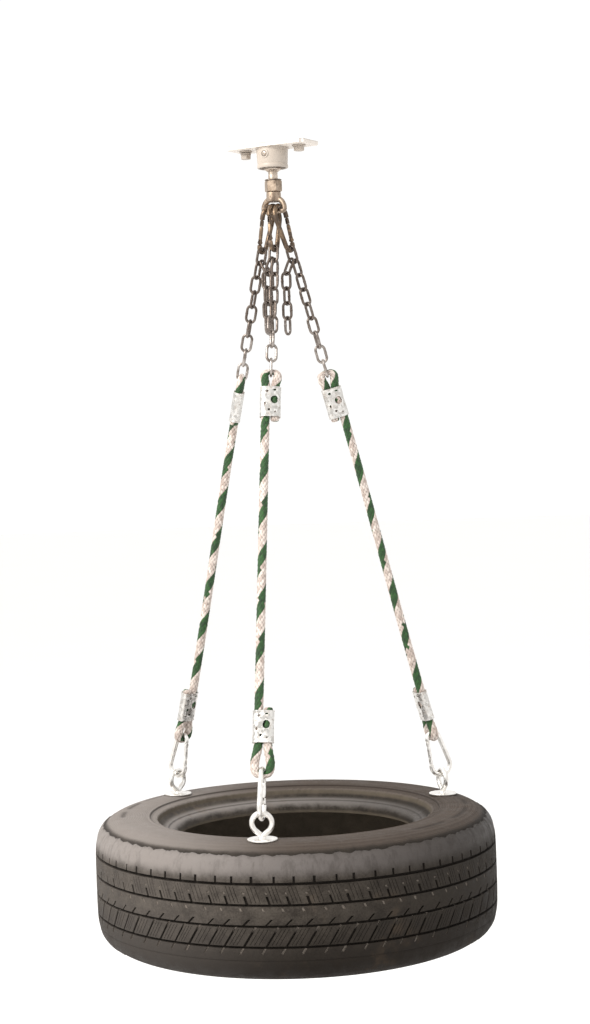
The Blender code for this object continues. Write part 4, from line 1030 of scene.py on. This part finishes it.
def make_rope(name, leg, layout, line, seed):
    points, radii = rope_path(leg, layout, line)
    knots = lengths_along(points)
    along = np.arange(0, knots[-1] * MM, ROPE_STEP)
    path = splines(knots, points, along / MM)
    heading = tangents(path, False)
    across = carried_axes(heading)
    out = np.cross(heading, across)
    around, length = np.meshgrid(np.arange(ROPE_SIDES) / ROPE_SIDES, along)
    height, i, j = braid(around, length)
    jitter = np.sin(i * 12.9898 + j * 78.233 + seed) * 43758.5453
    jitter = jitter - np.floor(jitter)
    stitch_turn = ((i + j + 1) / 2) / BRAID_AROUND
    stitch_along = (i - j) / 2 * BRAID_LENGTH
    phase = (stitch_turn - stitch_along / STRIPE_PITCH + 0.13 * seed + 0.05 * (jitter - 0.5)) % 1
    ends = np.clip(np.minimum(length, along[-1] - length) / (4 * MM), 0, 1)
    cap = np.sqrt(1 - (1 - ends) ** 2) * 0.45 + 0.55 * (ends > 0)
    radius = np.interp(along / MM, knots, radii)[:, None]
    size = (radius - STITCH_HEIGHT * (1 - height)) * np.clip(cap, 0.25, 1)
    ring = across[:, None] * (size * np.cos(2 * pi * around))[..., None]
    ring = ring + out[:, None] * (size * np.sin(2 * pi * around))[..., None]
    Shape().grid(path[:, None] + ring).done(
        f"{name}_rope_braid", "rope", "hanger", f"{name}_rope", sharp=180,
        green=phase < STRIPE_SHARE, shade=jitter, valley=np.clip(0.95 - height * 1.7, 0, 0.85),
    )


# ------------ rope clamps

SHEET_RADIUS = ROPE_RADIUS + CLAMP_PLAY + CLAMP_WALL / 2
SHEET_HALF_FLAT = ROPE_PITCH
SHEET_ROUND = 4 * SHEET_HALF_FLAT + 2 * pi * SHEET_RADIUS
SEAM_HALF = 0.35
# Openings pressed in the sheet's front: centre across and along, half sizes
SHEET_HOLES = (
    (-6, 3, 5.6, 6.4), (5, 16, 2.4, 2), (2, -13, 2.2, 2), (-6.5, 18.5, 2.6, 1.3), (8.5, -4, 1.9, 2.6),
    (-7.5, -16.5, 1.6, 1.6),
)
# Dents in the sheet: centre across and along, spread and depth
SHEET_DENTS = ((-6, 8, 4, 1.1), (5, -11, 4.5, 1.2), (-22, 4, 5, 1.0), (24, -8, 5, 0.9), (30, 14, 4, 0.8))


def on_sleeve(u):
    """Point (x, y) and outward normal at distance u round the sleeve, from the middle of its front."""
    radius = SHEET_RADIUS
    side = copysign(1, u)
    past = abs(u) - SHEET_HALF_FLAT
    if past < 0:
        return (u, radius), (0, 1)
    if past < pi * radius:
        n_x, n_y = cos(pi / 2 - past / radius), sin(pi / 2 - past / radius)
        return (side * (SHEET_HALF_FLAT + radius * n_x), radius * n_y), (side * n_x, n_y)
    return (side * (SHEET_HALF_FLAT - (past - pi * radius)), -radius), (0, -1)


def in_hole(u, v, margin):
    return any(((u - x) / (a + margin)) ** 2 + ((v - z) / (b + margin)) ** 2 < 1 for x, z, a, b in SHEET_HOLES)


def clamp_mesh(name, seed):
    """The sleeve's sheet, laid out flat with its openings, then rolled round."""
    half = SHEET_ROUND / 2 - SEAM_HALF
    tall = CLAMP_LENGTH / 2
    across = np.linspace(-half, half, 42)
    rise = np.linspace(-tall, tall, 24)
    loops = [
        [(u, -tall) for u in across[:-1]] + [(half, v) for v in rise[:-1]]
        + [(u, tall) for u in across[:0:-1]] + [(-half, v) for v in rise[:0:-1]]
    ]
    for x, z, a, b in SHEET_HOLES:
        turns = circle(max(14, int((a + b) / 0.45)))
        ragged = 1 + 0.05 * np.sin(3 * turns + seed) + 0.03 * np.sin(7 * turns + 2 * seed)
        loops.append(list(zip(x + a * ragged * np.cos(turns), z + b * ragged * np.sin(turns))))
    flat, edges = [], []
    for loop in loops:
        start, count = len(flat), len(loop)
        edges += [(start + i, start + (i + 1) % count) for i in range(count)]
        flat += loop
    flat += [(u, v) for u in across[1:-1] for v in rise[1:-1] if not in_hole(u, v, 0.9)]
    flat = [Vector((u * MM, v * MM)) for u, v in flat]
    verts, _, faces, _, _, _ = geometry.delaunay_2d_cdt(flat, edges, [], 0, 1e-7)
    verts = [(vert.x / MM, vert.y / MM) for vert in verts]
    kept = [face for face in faces if not in_hole(*np.mean([verts[i] for i in face], 0), -0.15)]
    mesh = bpy.data.meshes.new(name)
    mesh.from_pydata([rolled(u, v, seed) * MM for u, v in verts], [], kept)
    return mesh


def rolled(u, v, seed):
    dent = 0.0
    for x, z, spread, depth in SHEET_DENTS:
        shift = 2.5 * sin(seed * 1.7 + x)
        dent += depth * exp(-((u - x - shift) ** 2 + (v - z) ** 2) / spread**2)
    ripple = 0.22 * noise.noise(Vector((u * 0.16, v * 0.16, seed)))
    flare = 0.55 * max(0.0, abs(v) / (CLAMP_LENGTH / 2) - 0.9) * 10
    (x, y), (n_x, n_y) = on_sleeve(u)
    push = max(flare + ripple - dent * (abs(u) > SHEET_HALF_FLAT * 1.2 or y > 0), -0.55)
    return Vector((x + n_x * push, y + n_y * push, v))


def make_clamp(name, centre, line, side, seed):
    mesh = clamp_mesh(f"{name}_sleeve", seed)
    sleeve = finished(f"{name}_sleeve", mesh, 60, "clamp", "hanger", name)
    mesh.transform(axes_matrix(centre * MM, line, side))
    setup(sleeve.modifiers.new("wall", "SOLIDIFY"), thickness=CLAMP_WALL * 0.92 * MM, offset=0)
    ease_edges(sleeve, "edges", 0.28, 2, 60)


def ease_edges(obj, name, width, segments, angle):
    bevel = obj.modifiers.new(name, "BEVEL")
    setup(bevel, width=width * MM, segments=segments, limit_method="ANGLE", angle_limit=radians(angle))


# ------------ eyebolts and fasteners


def rounded_ring(inner, outer, bottom, top, ease=0.5):
    """Profile of a flat ring with eased edges."""
    small, tiny = ease * 0.6, ease * 0.3
    upper = [(inner, -small), (inner + small, 0), (outer - ease, 0), (outer - tiny, -tiny), (outer, -ease)]
    return [(r, top + z) for r, z in upper] + [(r, bottom - z) for r, z in reversed(upper)]


def hexagon(flats, bottom, top, place, bore=0, turn=0.0):
    """Hexagon with chamfered corners, as a nut or a screw head."""
    angles = circle(96)
    hexed = flats / 2 / np.cos(((angles + turn + pi / 6) % (pi / 3)) - pi / 6)
    face = flats / 2 * 0.955
    inner = max(bore, AXIS_RADIUS)
    ease = 0.5 * (bore > 0)
    upper = [(inner, 1.2 * ease), (inner + ease, 0), (face, 0), (hexed, (hexed - face) * 0.5 + 0.05)]
    rings = [ringed(r, angles, top - z) for r, z in upper] + [ringed(r, angles, bottom + z) for r, z in upper[::-1]]
    return Shape().grid(rings, True, place)


def threaded(radius, bottom, top, pitch=1.25, depth=0.7):
    """Open profile of a threaded rod, top to bottom, with a chamfered tip."""
    profile = [(0, top), (radius, top)]
    z = top - pitch * 0.25
    while z > bottom + pitch:
        profile += [(radius, z), (radius - depth, z - pitch * 0.5)]
        z -= pitch
    return profile + [(radius, bottom + 0.9), (radius - 0.9, bottom), (0, bottom)]


def turned(node, suffix, look, body, profile, place=None, steps=48, closed=False):
    """A lathed piece in place of a CAD node."""
    Shape().lathe(profile, place, steps, closed).done(f"{node}_{suffix}", look, body, node)


def washer(node, look, body, inner, ease=0.5, steps=64, side=1):
    lo, hi, middle = box_of(node)
    profile = rounded_ring(inner, (hi - lo)[side] / 2, lo.z, hi.z, ease)
    turned(node, "pressed", look, body, profile, upright(middle), steps, True)


def nut(node, look, body, flats, bore, turn=0.0):
    lo, hi, middle = box_of(node)
    hexagon(flats, lo.z, hi.z, upright(middle), bore, turn).done(f"{node}_chamfered", look, body, node)


def make_eyebolt(name):
    spot = bolt_spot(name)
    centre = spot + UP * BOLT_EYE_HEIGHT
    place = axes_matrix(centre, UP, UP.cross(Vector((spot.x, spot.y, 0)).normalized()))
    foot = BOLT_RADIUS - BOLT_EYE_HEIGHT
    slope = asin(BOLT_EYE_RADIUS / -foot)
    loop = arc((0, 0), BOLT_EYE_RADIUS, -slope, pi + slope, 52)
    path = [(1.6, 0, foot - 2)] + straight((1.1, 0, foot), loop[0], 8)[:-1] + loop
    path += straight(loop[-1], (-1.1, 0, foot), 8)[1:] + [(-1.6, 0, foot - 2)]
    bolt = Shape().sweep(path, BOLT_RADIUS, 20, place=place)
    bottom = box_of(f"{name}_eyebolt")[0].z - centre.z
    collar = BOLT_RADIUS * 0.8 - BOLT_EYE_HEIGHT
    bolt.lathe(threaded(BOLT_RADIUS, bottom, collar), place, 28, closed=False)
    weld = [(0, collar + 3), (3.4, collar + 2), (5.2, collar - 1.4), (5.8, -BOLT_EYE_HEIGHT), (0, -BOLT_EYE_HEIGHT)]
    bolt.lathe(weld, place, 28, closed=False)
    bolt.done(f"{name}_eyebolt_bent", "zinc", "hanger", f"{name}_eyebolt")
    for node, look in ((f"{name}_top_washer", "zinc"), (f"{name}_inner_washer", "dull")):
        washer(node, look, "hanger", BOLT_RADIUS + 0.2, 0.8, 72, side=0)
    nut(f"{name}_nut", "dull", "hanger", 13, BOLT_RADIUS + 0.1)


# ------------ bracket and swivel


def make_screws():
    for side, turn in (("left", 0.35), ("right", 0.1)):
        node = f"plate_screw_{side}"
        lo, hi, middle = box_of(node)
        screw = hexagon(14.2, lo.z, lo.z + 6, upright(middle), turn=turn)
        screw.lathe(rounded_ring(AXIS_RADIUS, 8.1, lo.z + 5.6, lo.z + 7.1, 0.4), upright(middle))
        screw.lathe(threaded(4.1, lo.z + 3, hi.z, 2.2, 0.6), upright(middle), 24, closed=False)
        screw.done(f"{node}_hex", "cream", "bracket", node)
        washer(f"plate_washer_{side}", "cream", "bracket", 4.5)


def make_spring_washer():
    """One open turn of square wire, its two cut ends a little apart in height."""
    lo, hi, centre = box_of("spring_washer_left")
    inner, thick = 4.6, 2.0
    width = (hi.y - lo.y) / 2 - inner
    lift = (hi.z - lo.z - thick) / 2
    half = [(0, 0.9), (0, 1), (0.12, 1), (1, 1), (1, 0.9)]
    section = [(a, -b) for a, b in half[1:]] + half[::-1] + [(0, -0.9)]
    rings = []
    for turn in np.linspace(0.1, 2 * pi - 0.02, 60):
        radial = np.array((cos(turn - 1.9), sin(turn - 1.9), 0))
        rise = lift * (turn / pi - 1)
        rings.append([radial * (inner + width * a) + (0, 0, rise + b * thick / 2) for a, b in section])
    Shape().grid(np.array(rings) + centre).done("spring_washer_left_split", "cream", "bracket", "spring_washer_left")


def make_cup():
    lo, hi, _ = box_of("swivel_cup")
    top, rim = hi.z, lo.z
    wide = (hi.y - lo.y) / 2
    lip = 24.4
    wall = 2.4
    profile = [
        (wide, top), (wide, top - 3), (wide - 0.3, top - 8), (wide - 0.9, rim + 9), (lip - 1, rim + 6.6),
        (lip - 0.2, rim + 5.4), (lip, rim + 4.2), (lip, rim + 1.4), (lip - 0.5, rim + 0.4), (lip - 1.4, rim),
        (lip - 2.6, rim), (lip - wall - 0.6, rim + 0.7), (lip - wall - 0.8, rim + 5), (wide - wall, top - 6),
        (wide - wall, top),
    ]
    cup = Shape().lathe(profile, steps=96)
    weld_bead(cup, wide - 0.2, top - 0.7)
    pin_z = box_of("pivot_pin")[2].z
    for side in (-1, 1):
        boss = axes_matrix(Vector((0, side * (wide - 1.3), pin_z)), PIN_LINE, PLATE_LINE)
        cup.lathe(rounded_ring(4.7, 7, -1.7, 1.6, 0.6), boss, 40)
    cup.done("swivel_cup_pressed", "cream", "bracket", "swivel_cup")


def weld_bead(shape, radius, height):
    """Ring of overlapping ripples where the cup is welded to the plate."""
    turns = circle(180)
    radii = 1.25 + 0.22 * np.abs(np.sin(turns * 27)) + 0.12 * np.sin(turns * 5)
    shape.sweep(ringed(radius, turns, height), list(radii), 12, cyclic=True, normal=UP)


def make_pin():
    lo, hi, middle = box_of("pivot_pin")
    clip_lo, clip_hi, _ = box_of("pin_clip")
    radius, neck = 4.5, 3.4
    profile = [
        (0, hi.y), (radius - 1.1, hi.y), (radius - 0.3, hi.y - 0.4), (radius, hi.y - 1), (radius, clip_hi.y + 0.2),
        (neck, clip_hi.y + 0.2), (neck, clip_lo.y - 0.2), (radius, clip_lo.y - 0.2), (radius, lo.y + 1),
        (radius - 0.3, lo.y + 0.4), (radius - 1.1, lo.y), (1.2, lo.y), (0.9, lo.y + 0.7), (0, lo.y + 0.7),
    ]
    across = axes_matrix(Vector((0, 0, middle.z)), PIN_LINE, PLATE_LINE)
    turned("pivot_pin", "turned", "dull", "bracket", profile, across, 40)
    rings = []
    for turn in np.linspace(-2.55, 2.55, 60):
        outer = 7.2 - 1.4 * (abs(turn) / 2.55) ** 2 + 0.9 * (abs(turn) > 2.3)
        section = ((3.6, clip_lo.y), (outer, clip_lo.y), (outer, clip_hi.y), (3.6, clip_hi.y))
        rings.append([(cos(turn) * reach, y, middle.z + sin(turn) * reach) for reach, y in section])
    Shape().grid(rings).done("pin_clip_sprung", "dull", "bracket", "pin_clip")


def make_rocker():
    lo, hi, _ = box_of("rocker_block")
    wide = (hi.x - lo.x) / 2
    turned("rocker_block", "turned", "dull", "rocker", [
        (0, hi.z), (7, hi.z), (8.2, hi.z - 0.5), (wide - 0.8, hi.z - 4), (wide, hi.z - 5.2), (wide, lo.z + 1),
        (wide - 0.7, lo.z), (11.8, lo.z), (11.5, lo.z + 0.5), (11.5, -23), (0, -23),
    ], steps=64)
    flange = lo.z - 0.3
    lo, hi, _ = box_of("gland_bushing")
    inner = 7.8
    turned("gland_bushing", "flared", "warm", "rocker", [
        (inner, hi.z), (11.2, hi.z), (11.2, flange), (12.6, flange), (13, flange - 0.4), (13, flange - 1.7),
        (12.6, flange - 2.3), (11.4, flange - 2.8), (10.4, flange - 3.4), (9.7, lo.z + 0.5), (9.2, lo.z),
        (8.2, lo.z), (inner, lo.z + 0.5),
    ], steps=64, closed=True)


def make_spindle():
    lo, hi, _ = box_of("spindle")
    radius = 7.5
    head_bottom = hinge_of("swivel_spin").z
    thread_top = box_of("spindle_lock_nut")[1].z + 3.5
    turned("spindle", "turned", "warm", "swivel", [
        (0, hi.z), (9.8, hi.z), (10.8, hi.z - 1), (10.8, head_bottom), (radius, head_bottom), (radius, -46),
        (radius - 0.35, -46.4), (radius - 0.35, -48), (radius, -48.4), (radius, thread_top),
        (radius - 0.3, thread_top - 0.3), (radius - 0.3, lo.z), (0, lo.z),
    ], steps=56)
    washer("spindle_washer", "dull", "swivel", 7.8)
    nut("spindle_lock_nut", "tan", "swivel", 24, 7.7, 0.2)


def make_eye():
    """Forged stirrup: a bar, square corners and a thick crown, blended into the boss on the spindle."""
    lo, hi, _ = box_of("swivel_eye")
    wire, corner = 3.75, 4
    half = (hi.x - lo.x) / 2 - wire
    low = hinge_of("hanger_swing").z + corner
    crown, boss = -85.7, -90.4
    angles = np.linspace(0.05, pi / 2, 20)
    growth = 0.38 * wire * np.sin(angles) ** 2
    side = arc((half - corner, low), corner, -pi / 2, 0, 9)
    radii = [wire] * len(side) + [wire + g for g in growth]
    side += [((half + g) * cos(a), 0, low + (crown - low + g) * sin(a)) for a, g in zip(angles, growth)]
    path = side + [(-x, 0, z) for x, _, z in side[-2::-1]]
    rough = Shape().sweep(path, radii + radii[-2::-1], 20, cyclic=True)
    rough.lathe([
        (0, hi.z), (10.6, hi.z), (11.5, hi.z - 1), (11.6, boss + 4), (10.6, boss + 1), (8, boss), (0, boss),
    ], closed=False)
    eye = rough.done("swivel_eye_forged", "tan", "swivel", "swivel_eye", sharp=180)
    setup(eye.modifiers.new("blend", "REMESH"), mode="VOXEL", voxel_size=0.62 * MM, use_smooth_shade=True)
    setup(eye.modifiers.new("soften", "SMOOTH"), factor=0.5, iterations=4)


def make_bracket():
    # The plate takes the brighter copy of the cream paint, which is painted light
    for node, look in (("mounting_plate", "cream_lit_copy"), ("lower_race", "dull"), ("thrust_ball_ring", "zinc")):
        for place in frame["nodes"][node].material_slots:
            place.material = LOOKS[look][1]
    ease_edges(frame["nodes"]["mounting_plate"], "eased_edges", 0.7, 3, 50)
    make_screws()
    make_spring_washer()
    make_cup()
    make_pin()
    make_rocker()
    make_spindle()
    make_eye()


def make_leg(name, leg, seed):
    top_hook, low_hook, line = leg_frames(name)
    make_hook(f"{name}_upper", top_hook, "bronze", f"{name}_upper_gate_arm")
    make_hook(f"{name}_lower", low_hook, "zinc", f"{name}_lower_gate_arm")
    frames = chain_frames(leg, top_hook, line)
    make_chain(f"{name}_chain_links", frames, "hanger", f"{name}_chain")
    make_chain(f"{name}_chain_tail_links", tail_frames(name, leg), f"{name}_spare_chain", f"{name}_chain_tail")
    layout = rope_layout(leg, low_hook, frames[-1], line)
    make_rope(name, leg, layout, line, seed)
    top, top_side, bottom, bottom_side = layout
    upper = top + line * (CLAMP_TOP_DROP + CLAMP_LENGTH / 2)
    make_clamp(f"{name}_upper_clamp", upper, -line, -top_side * leg["rope"], seed)
    lower = bottom - line * (leg["lift"] + CLAMP_LENGTH / 2)
    make_clamp(f"{name}_lower_clamp", lower, -line, -bottom_side * leg["rope"], seed + 3)
    make_eyebolt(name)


# ------------ studio, in metres

CAMERA_BACK = 3.154
CAMERA_SIDE = -0.060
CAMERA_HEIGHT = -0.4825
CAMERA_YAW = 0.0243
CAMERA_PITCH = 0.0308
CAMERA_ROLL = 0.034
CAMERA_SENSOR = 36
CAMERA_LENS = 70.0664
FLOOR_DROP = 0.45
FLOOR_RADIUS = 30

# Heading from the camera's own side and elevation in degrees, distance, size, power and tint
LIGHTS = {
    "key": (-52, 36, 3.2, 1.5, 107, (1.0, 0.965, 0.92)),
    "fill": (50, 12, 3.6, 2.2, 4, (1.0, 0.98, 0.96)),
    "back": (-160, 45, 3.2, 1.4, 16, (1.0, 0.98, 0.95)),
}


def make_camera():
    look = UP.cross(VIEW_RIGHT)
    ahead = VIEW_RIGHT * sin(CAMERA_YAW) + look * cos(CAMERA_YAW)
    ahead = ahead * cos(CAMERA_PITCH) - UP * sin(CAMERA_PITCH)
    side = ahead.cross(UP).normalized()
    x_axis = side * cos(CAMERA_ROLL) - side.cross(ahead) * sin(CAMERA_ROLL)
    data = setup(bpy.data.cameras.new("camera"), sensor_width=CAMERA_SENSOR, lens=CAMERA_LENS)
    camera = new_object("camera", data)
    place = look * -CAMERA_BACK + VIEW_RIGHT * CAMERA_SIDE + UP * CAMERA_HEIGHT
    camera.matrix_world = axes_matrix(place, -ahead, x_axis)
    bpy.context.scene.camera = camera


def soft_light(name, heading, elevation, distance, size, power, tint):
    """Square soft light aimed at the swing's middle."""
    turn = VIEW_HEADING + radians(heading)
    out = Vector((sin(turn), -cos(turn), tan(radians(elevation)))).normalized()
    data = setup(bpy.data.lights.new(name, "AREA"), shape="SQUARE", size=size, energy=power, color=tint)
    middle = UP * (CAD_BOX[0][2] + CAD_BOX[1][2]) / 2
    light = setup(new_object(name, data), location=middle + out * distance, rotation_mode="QUATERNION")
    light.rotation_quaternion = out.to_track_quat("Z", "Y")


def make_studio():
    mesh = bpy.data.meshes.new("studio_floor")
    mesh.from_pydata(ringed(FLOOR_RADIUS, circle(64), CAD_BOX[0][2] - FLOOR_DROP), [], [list(range(64))])
    mesh.materials.append(floor_paint())
    new_object("studio_floor", mesh)
    world = bpy.data.worlds.new("studio")
    world.use_nodes = True
    sky = world.node_tree.nodes["Background"]
    sky.inputs["Color"].default_value = (1.0, 0.993, 0.982, 1)
    sky.inputs["Strength"].default_value = 1.05
    bpy.context.scene.world = world
    for name, light in LIGHTS.items():
        soft_light(name, *light)
    bpy.context.scene.view_settings.view_transform = "Standard"


make_bracket()
for number, (leg_name, leg_plan) in enumerate(LEGS.items()):
    make_leg(leg_name, leg_plan, number + 1)
make_tire()
make_studio()
make_camera()

bpy.context.view_layer.update()
